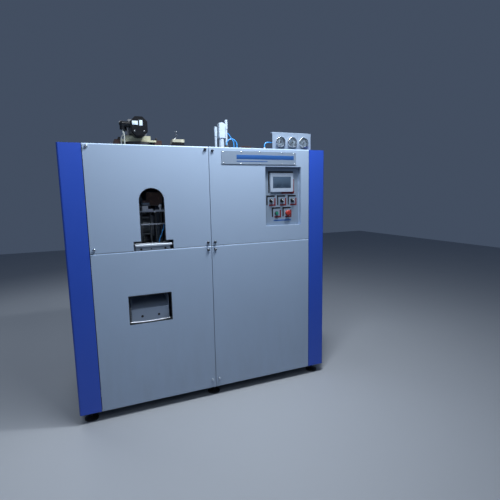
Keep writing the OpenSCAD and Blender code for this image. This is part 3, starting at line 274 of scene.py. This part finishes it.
# White strip on the selectors' grips: a painted highlight of the lit side of each grip
grip_highlight_white = moulded("painted_grip_highlight", (0.80, 0.86, 0.92), 0.3)
bracket_red = moulded("red_bracket_film", (0.16, 0.012, 0.012), 0.34)
cable_beige = moulded("beige_cable_sheath", (0.30, 0.32, 0.30), 0.45)
gland_black = moulded("black_gland_plastic", (0.012, 0.012, 0.014), 0.36)
gland_white = moulded("white_gland_plastic", (0.66, 0.68, 0.68), 0.3)
block_cream = cast_paint("cream_block_paint", (0.30, 0.295, 0.23), 0.45)
foot_black = cast_paint("black_foot_paint", (0.006, 0.006, 0.008), 0.6, 0.1)
fitting_chrome = polished("fitting_chrome", (0.80, 0.82, 0.85))
dial_face = moulded("dial_paint", (0.50, 0.63, 0.78), 0.4)
dial_ink = moulded("dial_ink", (0.015, 0.02, 0.03), 0.4)
label_film = moulded("label_film", (0.52, 0.62, 0.70), 0.4)
screw_silver = polished("bright_screw_plating", (0.52, 0.58, 0.66), 0.3)
# Black rubber, also used as painted shade: the outlet's lip and the discs in the holes stand where there is
# only shade
black_rubber_and_shade = moulded("black_rubber_and_painted_shade", (0.008, 0.008, 0.009), 0.55)
rivet_white = polished("rivet_plating", (0.86, 0.88, 0.90), 0.2)
bolt_black = cast_paint("blackened_bolt", (0.012, 0.012, 0.014), 0.36)


def gauge_glass():
    f = Finish("gauge_glass", (1, 1, 1), 0.03, transmission_weight=1.0, ior=1.45)
    f.put("Roughness", f.noise(0.01, 2.0) * 0.03 + 0.01)
    return f.material


finishes["gauge_glass"] = gauge_glass()

slots = {row["node"]: row["material_slot"] for row in frame["record"]["subparts"]}
bodies = {node: body for body, members in frame["record"]["behaviour"]["bodies"].items() for node in members}
for name, node in nodes.items():
    node.data.materials.clear()
    node.data.materials.append(finishes[slots[name]])


def mark_shading(bm, angle):
    """Smooth faces, with every edge sharper than the angle, in degrees, kept crisp."""
    limit = math.radians(angle)
    for face in bm.faces:
        face.smooth = True
    for edge in bm.edges:
        edge.smooth = len(edge.link_faces) == 2 and edge.calc_face_angle(0) < limit


def hang(name, bm, material, body, angle=35):
    """Turns a bmesh in machine coordinates into a finished piece that rides on a body."""
    mark_shading(bm, angle)
    mesh = bpy.data.meshes.new(name)
    bm.to_mesh(mesh)
    bm.free()
    piece = bpy.data.objects.new(name, mesh)
    bpy.context.scene.collection.objects.link(piece)
    mesh.materials.append(material)
    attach(piece, body)
    return piece


def low_of(name):
    return Vector(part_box(name)[0])


def high_of(name):
    return Vector(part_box(name)[1])


def middle(name):
    return (low_of(name) + high_of(name)) / 2


# Points closer together than this are one point
WELD = 0.00001

FRONTWARD = (0, -1, 0)
UPWARD = (0, 0, 1)


def copied(name):
    """A CAD node's mesh with its triangles joined into the faces they came from."""
    bm = bmesh.new()
    bm.from_mesh(nodes[name].data)
    bmesh.ops.remove_doubles(bm, verts=bm.verts, dist=WELD)
    bmesh.ops.dissolve_limit(bm, angle_limit=math.radians(0.5), verts=bm.verts, edges=bm.edges)
    return bm


def bevelled(bm, edges, width, segments=2):
    bmesh.ops.bevel(bm, geom=edges, offset=width, offset_type="OFFSET", affect="EDGES", segments=segments,
                    profile=0.5, material=-1, clamp_overlap=True)


def joined(bm, part, place=Matrix()):
    """Adds a part to a bmesh at its place."""
    bmesh.ops.transform(part, matrix=place, verts=part.verts)
    mesh = bpy.data.meshes.new("part")
    part.to_mesh(mesh)
    part.free()
    bm.from_mesh(mesh)
    bpy.data.meshes.remove(mesh)


def slab(bm, low, high, corner=0.0, edge=0.0):
    """Adds a block between two corners, rounded at its edges along Y and then at the others."""
    low, high = Vector(low), Vector(high)
    part = bmesh.new()
    bmesh.ops.create_cube(part, size=1)
    bmesh.ops.scale(part, vec=high - low, verts=part.verts)
    bmesh.ops.translate(part, vec=(low + high) / 2, verts=part.verts)

    def runs_along_y(e):
        return abs(e.verts[0].co.y - e.verts[1].co.y) > 1e-6

    if corner:
        bevelled(part, [e for e in part.edges if runs_along_y(e)], corner, 5)
    if edge:
        bevelled(part, [e for e in part.edges if not runs_along_y(e)], edge)
    joined(bm, part)


def facing(direction):
    """The turn that takes +Z to a direction."""
    return Vector(UPWARD).rotation_difference(Vector(direction)).to_matrix().to_4x4()


def bolt_head(bm, place, direction, head_d, head_h):
    """Adds a cap screw's head that stands on a place, with a round socket in its top."""
    part = bmesh.new()
    turned = bmesh.ops.create_cone(part, cap_ends=True, segments=24, radius1=head_d / 2, radius2=head_d / 2,
                                   depth=head_h)
    bmesh.ops.translate(part, vec=(0, 0, head_h / 2), verts=turned["verts"])
    top = max(part.faces, key=lambda f: f.calc_center_median().z)
    bevelled(part, list(top.edges), head_d * 0.07)
    top = max(part.faces, key=lambda f: f.calc_center_median().z)
    bmesh.ops.inset_individual(part, faces=[top], thickness=head_d * 0.17)
    pit = bmesh.ops.extrude_discrete_faces(part, faces=[top])["faces"][0]
    bmesh.ops.translate(part, vec=(0, 0, -head_h * 0.45), verts=pit.verts)
    joined(bm, part, Matrix.Translation(place) @ facing(direction))


def turned_part(bm, outline, place, direction, steps=48):
    """Adds a shape spun about its own axis from (radius, height) points in millimetres."""
    part = bmesh.new()
    points = [part.verts.new((r * MM, 0, h * MM)) for r, h in outline]
    edges = [part.edges.new(pair) for pair in zip(points, points[1:])]
    bmesh.ops.spin(part, geom=points + edges, cent=(0, 0, 0), axis=UPWARD, dvec=(0, 0, 0),
                   angle=math.tau, steps=steps, use_merge=True)
    bmesh.ops.remove_doubles(part, verts=part.verts, dist=WELD)
    bmesh.ops.recalc_face_normals(part, faces=part.faces)
    joined(bm, part, Matrix.Translation(place) @ facing(direction))


def hole_shade_disc(bm, place, radius, height):
    """Adds a disc that fills a hole and stands a little proud of it, a dark stand-in for the hole's shade,
    sizes in millimetres.
    """
    outline = [(0, -0.2), (radius, -0.2), (radius, 0.8), (radius - 0.6, height), (0, height)]
    turned_part(bm, outline, place, FRONTWARD, 24)


def paint(name, *looks):
    """Gives faces of a finished piece another material, wherever a test of their centre holds."""
    mesh = bpy.data.objects[name + "_finished"].data
    for material, test in looks:
        mesh.materials.append(material)
        for face in mesh.polygons:
            if test(face.center):
                face.material_index = len(mesh.materials) - 1


# How far the painted highlight along a bend, a lighter paint where the bend catches the light, reaches down
# the sheet
BEND_HIGHLIGHT_BAND = 6.5 * MM

# The front edge at the top of a folded sheet: its y, its z and the bend's radius
outer_bends = {
    name: (low_of(name).y, high_of(name).z, radius * MM)
    for name, radius in (("window_panel", 5), ("control_door", 5), ("outlet_door", 6), ("service_door", 6),
                         ("window_sill", 4.5), ("gauge_bracket", 2.2))
}

# Edges that meet at more than this angle, in degrees, are rounded
SHARP_ANGLE = 38

# These stand in close bores, so only their edges that point outwards are rounded
CLOSE_FITS = ("start_button", "emergency_stop")


def bend_sheet(bm, front, top, radius):
    """Rounds the front edge at a sheet's top, and cuts its faces where the painted highlight ends."""

    def on_edge(v):
        return abs(v.co.y - front) < WELD and abs(v.co.z - top) < WELD

    bevelled(bm, [e for e in bm.edges if all(on_edge(v) for v in e.verts)], radius, 4)
    everything = bm.verts[:] + bm.edges[:] + bm.faces[:]
    bmesh.ops.bisect_plane(bm, geom=everything, plane_co=(0, 0, top - BEND_HIGHLIGHT_BAND), plane_no=UPWARD)


def soften(name, width):
    """Puts a copy with rounded edges, and with its outer bend, in the place of a CAD node."""
    bm = copied(name)
    if name in outer_bends:
        bend_sheet(bm, *outer_bends[name])
    inner_edges = [e for e in bm.edges if len(e.link_faces) == 2]
    sharp = [e for e in inner_edges if math.degrees(e.calc_face_angle(0)) > SHARP_ANGLE]
    if name in CLOSE_FITS:
        sharp = [e for e in sharp if e.is_convex]
    bevelled(bm, sharp, width)
    piece = hang(name + "_finished", bm, finishes[slots[name]], bodies[name])
    weighted = piece.modifiers.new("weighted", "WEIGHTED_NORMAL")
    weighted.keep_sharp = True
    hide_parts(name)


# The width of the rounding on each node's sharp edges, in millimetres
rounded_edges = {
    "window_panel": 1.2, "outlet_door": 1.8, "control_door": 1.5, "service_door": 1.8,
    "side_panels": 1.2, "rear_panels": 1.2, "top_cover": 0.8, "window_sill": 1.4,
    "bottle_chute": 1.0, "gauge_bracket": 1.0, "name_plate": 0.8, "control_plate": 0.8,
    "touch_screen": 1.5, "switch_bodies": 0.8, "start_button": 1.0, "emergency_stop": 1.5,
    "selector_left": 0.8, "selector_middle": 0.8, "selector_right": 0.8, "gauge_cases": 1.0,
    "motor_risers": 1.5, "motor_plates": 1.5, "index_motor": 1.5, "index_gearbox": 3.0,
    "carousel": 1.0, "grippers": 0.8, "infeed_cylinder": 1.5, "infeed_lift": 1.0,
    "stretch_cylinder": 1.2, "clamp_end_plates": 2.0, "clamp_cylinders": 2.0, "blow_bridge": 1.5,
    "left_platen": 1.5, "right_platen": 1.5, "left_mould": 1.0, "right_mould": 1.0,
    "window_panel_screws": 0.8, "outlet_door_screws": 0.8, "control_door_screws": 0.8,
    "service_door_screws": 0.8, "levelling_feet": 1.0, "frame_posts": 3.0, "frame_rails": 3.0,
    "machine_bed": 1.0, "control_cabinet": 1.5, "hinge_brackets": 0.6, "oven": 0.8,
    "control_brackets": 0.2, "outfeed_guide": 0.8, "air_tubes": 0.5,
}
for name, width in rounded_edges.items():
    soften(name, width * MM)


COVER_Z = high_of("top_cover").z
BED_Z = high_of("machine_bed").z
FRONT_Y = low_of("window_panel").y
SILL_FACE_Y = low_of("window_sill").y + 7 * MM
WINDOW_X = middle("window_sill").x
OUTLET_X = middle("bottle_chute").x
LIFT_X = middle("infeed_cylinder").x
GLAND_H = 18.2 * MM

# The motor's shaft, and the top of the guide's upper fence, which its knob stands above
MOTOR_AXIS = Vector((middle("index_gearbox").x, 0, high_of("motor_plates").z + 53 * MM))
GUIDE_TOP = high_of("outfeed_guide").z - 50 * MM


def colour_brackets():
    """The upper-left corner of each frame is black and the lower-right one dark red."""
    frame_rise = Vector((0, 0, 6 * MM))
    places = [middle(n) for n in ("selector_left", "selector_middle", "selector_right")]
    places += [middle(n) + frame_rise for n in ("start_button", "emergency_stop")]
    places.append(middle("touch_screen"))
    mesh = bpy.data.objects["control_brackets_finished"].data
    bm = bmesh.new()
    bm.from_mesh(mesh)
    mesh.materials.append(bracket_red)
    # Each bracket is one island of joined points
    left = set(bm.verts)
    while left:
        island = {left.pop()}
        edge_of_island = set(island)
        while edge_of_island:
            edge_of_island = {e.other_vert(v) for v in edge_of_island for e in v.link_edges} & left
            island |= edge_of_island
            left -= edge_of_island
        centre = sum((v.co for v in island), Vector()) / len(island)
        nearest = min(places, key=lambda p: (p - centre).length)
        if centre.x > nearest.x:
            for face in {f for v in island for f in v.link_faces}:
                face.material_index = 1
    bm.to_mesh(mesh)
    bm.free()


def paint_drives():
    """Cables, glands, blocks and fittings on the pieces that stand on the cover."""
    cable_x, cable_z = MOTOR_AXIS.x - 66 * MM, MOTOR_AXIS.z - 24.2 * MM
    paint("index_motor",
          (cable_beige, lambda c: c.x < cable_x and c.z < cable_z),
          (gland_black, lambda c: c.z < COVER_Z + GLAND_H))
    block_z, fitting_z = COVER_Z + 88.1 * MM, COVER_Z + 111.2 * MM
    paint("stretch_cylinder",
          (foot_black, lambda c: c.z > COVER_Z - MM),
          (block_cream, lambda c: c.z > block_z),
          (fitting_chrome, lambda c: c.z > fitting_z))
    base_z, port_y = COVER_Z + 40.1 * MM, -35 * MM
    paint("infeed_cylinder",
          (finishes["gearbox_grey"], lambda c: c.z < base_z),
          (gland_black, lambda c: c.y < port_y and c.z > base_z))
    cap_x, cap_z = LIFT_X + 40 * MM, COVER_Z + 176 * MM
    paint("air_tubes",
          (gland_white, lambda c: COVER_Z < c.z < COVER_Z + GLAND_H or BED_Z < c.z < BED_Z + GLAND_H),
          (gland_white, lambda c: c.x < cap_x and c.z > cap_z))


def paint_front():
    """Painted highlights along the top bends, bright screws, painted shade on the sill's face and the gauge
    bracket, and the chute's paint.
    """
    sheet = 1.9 * MM
    # Each panel's top bend and the strip below it get the painted highlight
    for name in ("window_panel", "control_door", "outlet_door", "service_door"):
        front, top = outer_bends[name][:2]
        paint(name, (bend_highlight, lambda c: c.z > top - BEND_HIGHLIGHT_BAND and c.y < front + sheet))
    window_middle = middle("window_panel").x
    paint("window_panel_screws", (screw_silver, lambda c: c.x < window_middle))
    for name in ("outlet_door", "service_door"):
        door_middle = middle(name).z
        paint(name + "_screws", (screw_silver, lambda c: c.z < door_middle))
    # The face set back under the lip gets the darker steel, painted shade
    paint("window_sill", (sill_face_shade, lambda c: abs(c.y - SILL_FACE_Y) < 0.5 * MM))
    paint("bottle_chute", (chute_paint, lambda c: True))
    # The whole gauge bracket is darkened with painted shade
    paint("gauge_bracket", (bracket_shade_paint, lambda c: True))


def paint_inside():
    """The grippers' brown plates, and the guide's dark rods and bright knob."""
    plate_z = low_of("grippers").z + 11 * MM
    paint("grippers", (plate_brown, lambda c: c.z > plate_z))
    lower_fence_foot, lower_fence_top = GUIDE_TOP - 90 * MM, GUIDE_TOP - 78 * MM
    upper_fence_foot, knob_foot = GUIDE_TOP - 2 * MM, GUIDE_TOP + 20.5 * MM

    def on_rods(c):
        return c.z < lower_fence_foot or lower_fence_top < c.z < upper_fence_foot

    paint("outfeed_guide", (rod_dark, on_rods), (zinc_and_rim_highlight, lambda c: c.z > knob_foot))


def fit_screen():
    """The display behind the bezel: dark slate with faint hills and rows."""
    centre = middle("touch_screen")
    half_w, half_h = 76.7 * MM, 42.7 * MM
    row_pitch = 14 * MM
    f = Finish("display_glass", (0.06, 0.095, 0.15), 0.16, coat_weight=0.5, coat_roughness=0.05)
    hills = f.noise(0.05, 3.0, along=(1, 1, 0.7))
    lower_half = f.z.below(centre.z - 4 * MM, 30 * MM)
    shade = hills.above(0.5, 0.16) * lower_half
    rows = (f.z * (math.tau / row_pitch)).math("SINE").above(0.86, 0.1)
    f.put("Base Color", f.mix(shade * 0.55 + rows * 0.12, (0.066, 0.105, 0.16), (0.028, 0.048, 0.08)))
    f.put("Roughness", f.noise(0.03, 3.0) * 0.12 + 0.1)
    bm = bmesh.new()
    back = low_of("touch_screen").y + 1 * MM
    slab(bm, (centre.x - half_w, back - 0.4 * MM, centre.z - half_h),
         (centre.x + half_w, back, centre.z + half_h), corner=2 * MM, edge=0.15 * MM)
    hang("display", bm, f.material, "control_door")


def fit_dials():
    """A printed dial with a 270 degree scale in each gauge."""
    low, high = low_of("gauge_glasses"), high_of("gauge_glasses")
    radius = (high.z - low.z) / 2
    pitch = (high.x - low.x) / 2 - radius
    face_y = low_of("gauge_cases").y + 10 * MM
    r = radius / MM
    outline = [(0, 0.7), (r - 1.2, 0.7), (r - 0.5, 0.3), (r - 0.5, 0)]
    divisions = 50
    plates, marks = bmesh.new(), bmesh.new()
    for i in (-1, 0, 1):
        centre = Vector(((low.x + high.x) / 2 + i * pitch, face_y, (low.z + high.z) / 2))
        turned_part(plates, outline, centre, FRONTWARD)
        for step in range(divisions + 1):
            turn = math.radians(270 / divisions * step - 135)
            major = step % 5 == 0
            tick = bmesh.new()
            inner = radius - (9 if major else 6) * MM
            half = (0.8 if major else 0.35) * MM
            slab(tick, (-half, -0.85 * MM, inner), (half, -0.6 * MM, radius - 3 * MM))
            joined(marks, tick, Matrix.Translation(centre) @ Matrix.Rotation(turn, 4, "Y"))
    hang("gauge_dials", plates, dial_face, "root")
    hang("gauge_scales", marks, dial_ink, "root", 20)


def dress_name_plate():
    """White rivets, two plain blue stripes and a dark line on the plate, which stays bare of words."""
    low, high = low_of("name_plate"), high_of("name_plate")
    width, height = high.x - low.x, high.z - low.z
    film_y = low.y - 0.2 * MM
    rivets = bmesh.new()
    dome = [(3.6, 0), (3.4, 0.8), (2.4, 1.6), (1.0, 2.0), (0, 2.05)]
    for share in (0.025, 0.25, 0.5, 0.8, 0.975):
        for z in (high.z - 8 * MM, low.z + 8 * MM):
            turned_part(rivets, dome, Vector((low.x + share * width, low.y, z)), FRONTWARD, 20)
    hang("name_plate_rivets", rivets, rivet_white, "control_door")
    line = bmesh.new()
    slab(line, (low.x + 4 * MM, film_y, low.z + 1.5 * MM), (high.x - 4 * MM, low.y, low.z + 3.6 * MM),
         edge=0.08 * MM)
    hang("name_plate_line", line, dial_ink, "control_door")
    stripes = bmesh.new()
    for x0, x1, z0, z1 in ((0.19, 0.965, 0.40, 0.72), (0.19, 0.60, 0.22, 0.28)):
        slab(stripes, (low.x + x0 * width, film_y, low.z + z0 * height),
             (low.x + x1 * width, low.y, low.z + z1 * height), corner=2 * MM, edge=0.08 * MM)
    hang("name_plate_stripes", stripes, stripe_blue, "control_door")


def stripe_control_plate():
    """One plain blue stripe below the buttons."""
    centre_x, foot_z = middle("control_plate").x, low_of("control_plate").z
    print_y = low_of("control_brackets").y
    stripe = bmesh.new()
    slab(stripe, (centre_x - 70 * MM, print_y + 0.8 * MM, foot_z + 31 * MM),
         (centre_x + 80 * MM, print_y + 1.0 * MM, foot_z + 41 * MM), corner=2 * MM, edge=0.08 * MM)
    hang("control_stripe", stripe, stripe_blue, "control_door")


def dress_motor():
    """Two blank labels and two screws on the motor's front."""
    front = low_of("index_motor").y
    labels = bmesh.new()
    for x0, z0, x1, z1 in ((-48, 11, -8, 38), (2, 7, 24, 44)):
        low = MOTOR_AXIS + Vector((x0 * MM, front - 0.4 * MM, z0 * MM))
        high = MOTOR_AXIS + Vector((x1 * MM, front, z1 * MM))
        slab(labels, low, high, corner=2 * MM, edge=0.15 * MM)
    hang("motor_labels", labels, label_film, "root")
    screws = bmesh.new()
    for x in (-33, 33):
        bolt_head(screws, MOTOR_AXIS + Vector((x * MM, front, -33 * MM)), FRONTWARD, 9 * MM, 4 * MM)
    hang("motor_screws", screws, rivet_white, "root")


def bolt_down():
    """Black bolts that hold the risers and the motor's plate."""
    riser_z, plate_z = high_of("motor_risers").z, high_of("motor_plates").z
    bolts = bmesh.new()
    for x in (-134, 137):
        for y in (-45, 45):
            bolt_head(bolts, Vector((MOTOR_AXIS.x + x * MM, y * MM, riser_z)), UPWARD, 17 * MM, 22 * MM)
    for x in (-83, 83):
        for y in (-66, 72):
            bolt_head(bolts, Vector((MOTOR_AXIS.x + x * MM, y * MM, plate_z)), UPWARD, 10 * MM, 6 * MM)
    hang("drive_bolts", bolts, bolt_black, "root")


# How far behind the panel's face a black lip starts, and how deep it is
TRIM_INSET = 0.3 * MM
TRIM_DEPTH = 9 * MM


def trim_window():
    """A thin rubber lip round the inside of the arched window."""
    radius, arch_z, foot_z = 82.5 * MM, 1463.5 * MM, 1198.5 * MM
    strip = bmesh.new()
    ring = bmesh.ops.create_circle(strip, cap_ends=False, segments=64, radius=radius - 0.3 * MM)["verts"]
    bmesh.ops.rotate(strip, matrix=Matrix.Rotation(math.radians(90), 3, "X"), verts=ring)
    bmesh.ops.delete(strip, geom=[v for v in ring if v.co.z < -WELD], context="VERTS")
    feet = [v for v in strip.verts if len(v.link_edges) == 1]
    legs = bmesh.ops.extrude_vert_indiv(strip, verts=feet)["verts"]
    bmesh.ops.translate(strip, vec=(0, 0, foot_z - arch_z), verts=legs)
    wall = bmesh.ops.extrude_edge_only(strip, edges=strip.edges[:])["geom"]
    back = [v for v in wall if isinstance(v, bmesh.types.BMVert)]
    bmesh.ops.translate(strip, vec=(0, TRIM_DEPTH, 0), verts=back)
    bmesh.ops.recalc_face_normals(strip, faces=strip.faces)
    bmesh.ops.solidify(strip, geom=strip.faces[:], thickness=3.2 * MM)
    bmesh.ops.translate(strip, vec=(WINDOW_X, FRONT_Y + TRIM_INSET, arch_z), verts=strip.verts)
    bmesh.ops.recalc_face_normals(strip, faces=strip.faces)
    hang("window_trim", strip, black_rubber_and_shade, "root")


def trim_outlet():
    """A black lip inside the outlet's opening: painted shade for the dark border round the opening."""
    half_w, low_z, high_z = 144 * MM, 638 * MM, 836 * MM
    strip = bmesh.new()
    slab(strip, (OUTLET_X - half_w, FRONT_Y, low_z), (OUTLET_X + half_w, FRONT_Y + TRIM_DEPTH, high_z))
    ends = [f for f in strip.faces if abs(f.normal.y) > 0.9]
    bmesh.ops.delete(strip, geom=ends, context="FACES")
    bmesh.ops.solidify(strip, geom=strip.faces[:], thickness=5 * MM)
    bmesh.ops.recalc_face_normals(strip, faces=strip.faces)
    bmesh.ops.translate(strip, vec=(0, TRIM_INSET, 0), verts=strip.verts)
    # The black lip is painted shade round the opening
    hang("outlet_shade_lip", strip, black_rubber_and_shade, "outlet_door")


def dress_chute():
    """Black discs in the two holes of the chute's front, painted shade of the holes, and its rim in bright
    zinc, a painted highlight of the lit edge, bowed upwards at both ends.
    """
    front = low_of("bottle_chute").y
    hole_z, rim_z = 678 * MM, 634 * MM
    discs = bmesh.new()
    for across in (-56, 56):
        hole_shade_disc(discs, Vector((OUTLET_X + across * MM, front, hole_z)), 8.5, 1.3)
    # The black discs are painted shade in the holes
    hang("chute_hole_shades", discs, black_rubber_and_shade, "root")
    rim = bmesh.new()
    radius, bow, half_angle = 4 * MM, 1800 * MM, 0.077
    ring = bmesh.ops.create_circle(rim, segments=16, radius=radius)["verts"]
    bmesh.ops.rotate(rim, matrix=Matrix.Rotation(math.pi / 2, 3, "Y"), verts=ring)
    bmesh.ops.translate(rim, vec=(OUTLET_X, front - 1 * MM, rim_z + radius), verts=ring)
    centre = Vector((OUTLET_X, 0, rim_z + bow))
    bmesh.ops.rotate(rim, cent=centre, matrix=Matrix.Rotation(half_angle, 3, "Y"), verts=ring)
    bmesh.ops.spin(rim, geom=rim.edges[:], cent=centre, axis=(0, 1, 0), angle=-2 * half_angle, steps=24)
    bmesh.ops.holes_fill(rim, edges=rim.edges)
    bmesh.ops.recalc_face_normals(rim, faces=rim.faces)
    # The bright zinc on the rim is a painted highlight where the lip's edge catches the light
    hang("chute_rim", rim, zinc_and_rim_highlight, "root")


def cap_columns():
    """A flat angle of sheet that closes the top of each corner column, beside the cover."""
    outer, inner = high_of("corner_columns"), high_of("top_cover")
    column_w, column_d = 137 * MM, 110 * MM
    skin, clearance = 2.1 * MM, 0.3 * MM
    seam = inner.y + clearance
    before_cover = ((outer.x - column_w + skin, seam), (outer.x - skin, outer.y - skin))
    beside_cover = ((inner.x + clearance, outer.y - column_d + skin), (outer.x - skin, seam))
    top = outer.z - 3 * MM
    caps = bmesh.new()
    for side in (-1, 1):
        for end in (-1, 1):
            for near, far in (before_cover, beside_cover):
                xs = sorted(side * x for x in (near[0], far[0]))
                ys = sorted(end * y for y in (near[1], far[1]))
                slab(caps, (xs[0], ys[0], top - 1.5 * MM), (xs[1], ys[1], top), edge=0.3 * MM)
    hang("column_caps", caps, finishes["column_blue"], "root")


def mark_selectors():
    """A white line along one side of each selector's grip: a painted highlight where the grip's side catches
    the light.
    """
    for name in ("selector_left", "selector_middle", "selector_right"):
        centre = middle(name)
        top = low_of(name).y
        line = bmesh.new()
        slab(line, (0.3 * MM, top - 0.25 * MM, -8 * MM), (4.4 * MM, top + 0.3 * MM, 11 * MM), edge=0.2 * MM)
        bmesh.ops.rotate(line, matrix=Matrix.Rotation(math.radians(-45), 3, "Y"), verts=line.verts)
        bmesh.ops.translate(line, vec=(centre.x, 0, centre.z), verts=line.verts)
        # The white line stands on the grip's lit side as a painted highlight
        hang(name + "_line", line, grip_highlight_white, bodies[name])


def dress_guide():
    """The bright stop block and the clamp screw on the guide's upper fence."""
    guide = middle("outfeed_guide")
    centre = Vector((guide.x - 25 * MM, guide.y, GUIDE_TOP))
    block = bmesh.new()
    slab(block, centre + Vector((-42, -9, 8.2)) * MM, centre + Vector((0, 9, 42)) * MM, edge=1.5 * MM)
    hang("guide_stop_block", block, zinc_and_rim_highlight, "root")
    screw = bmesh.new()
    bolt_head(screw, centre + Vector((43, -6.2, 1)) * MM, FRONTWARD, 11 * MM, 5 * MM)
    hang("guide_clamp_screw", screw, zinc_and_rim_highlight, "root")


def shade_sill_holes():
    """Black discs in the sill's three holes, painted shade where the holes are dark."""
    hole_z = low_of("window_panel").z + 7 * MM
    hole_shades = bmesh.new()
    # Each black disc is painted shade in a hole
    for across, radius in ((-84, 7.5), (-18, 4.5), (75, 7.5)):
        hole_shade_disc(hole_shades, Vector((WINDOW_X + across * MM, SILL_FACE_Y, hole_z)), radius, 1.2)
    hang("sill_hole_shades", hole_shades, black_rubber_and_shade, "root")


colour_brackets()
paint_drives()
paint_front()
paint_inside()
fit_screen()
fit_dials()
dress_name_plate()
stripe_control_plate()
dress_motor()
bolt_down()
trim_window()
trim_outlet()
dress_chute()
cap_columns()
mark_selectors()
dress_guide()
shade_sill_holes()


# The photograph's width in pixels, which the camera's focal length is measured in
PHOTO_WIDTH = 500


def look_from(yaw, pitch, roll, place, focal_px):
    """A camera with the photograph's angle: turned about Z, then tilted, then rolled."""
    data = bpy.data.cameras.new("photo_camera")
    camera = bpy.data.objects.new("photo_camera", data)
    bpy.context.scene.collection.objects.link(camera)
    turn = Matrix.Rotation(math.radians(yaw), 4, "Z")
    tilt = Matrix.Rotation(math.radians(pitch), 4, "X")
    bank = Matrix.Rotation(math.radians(roll), 4, "Y")
    forward = Matrix.Rotation(math.radians(90), 4, "X")
    camera.matrix_world = Matrix.Translation(place) @ turn @ tilt @ bank @ forward
    data.sensor_width = 36
    data.lens = focal_px * data.sensor_width / PHOTO_WIDTH
    bpy.context.scene.camera = camera


look_from(-22.901, -8.285, 1.080, Vector((-0.7981, -3.1128, 1.4920)), 382.17)


def area_light(name, place, target, size, power, colour):
    """A rectangular light that faces a target."""
    data = bpy.data.lights.new(name, "AREA")
    data.shape = "RECTANGLE"
    data.size, data.size_y = size
    data.energy = power
    data.color = colour
    light = bpy.data.objects.new(name, data)
    bpy.context.scene.collection.objects.link(light)
    light.location = place
    light.rotation_euler = (Vector(target) - Vector(place)).to_track_quat("-Z", "Y").to_euler()


def studio():
    """The floor, the sky's colour and the lights."""
    mesh = bpy.data.meshes.new("floor")
    bm = bmesh.new()
    bmesh.ops.create_grid(bm, x_segments=1, y_segments=1, size=9)
    bm.to_mesh(mesh)
    bm.free()
    floor = bpy.data.objects.new("floor", mesh)
    bpy.context.scene.collection.objects.link(floor)
    f = Finish("pale_floor", (0.36, 0.39, 0.43), 0.6)
    f.put("Roughness", f.noise(0.4, 3.0) * 0.2 + 0.5)
    mesh.materials.append(f.material)
    world = bpy.data.worlds.new("studio")
    world.use_nodes = True
    background = world.node_tree.nodes["Background"]
    background.inputs["Color"].default_value = (0.40, 0.55, 0.85, 1)
    background.inputs["Strength"].default_value = 0.14
    bpy.context.scene.world = world
    area_light("ceiling_light", (0.3, -1.2, 3.2), (-0.1, -0.45, 1.5), (1.7, 0.4), 66, (0.92, 0.96, 1.0))
    area_light("lamp", (0.585, -1.04, 3.25), (0, -0.53, 1.6), (0.12, 0.12), 26, (0.95, 0.97, 1.0))
    area_light("front_fill", (-1.6, -3.9, 3.6), (0, 0, 1.9), (2.4, 1.6), 22, (0.86, 0.93, 1.0))
    area_light("rear_rim", (-1.5, 2.6, 3.8), (0, 0, 1.6), (3.0, 1.5), 60, (0.9, 0.95, 1.0))


studio()

bpy.context.scene.view_settings.view_transform = "Standard"
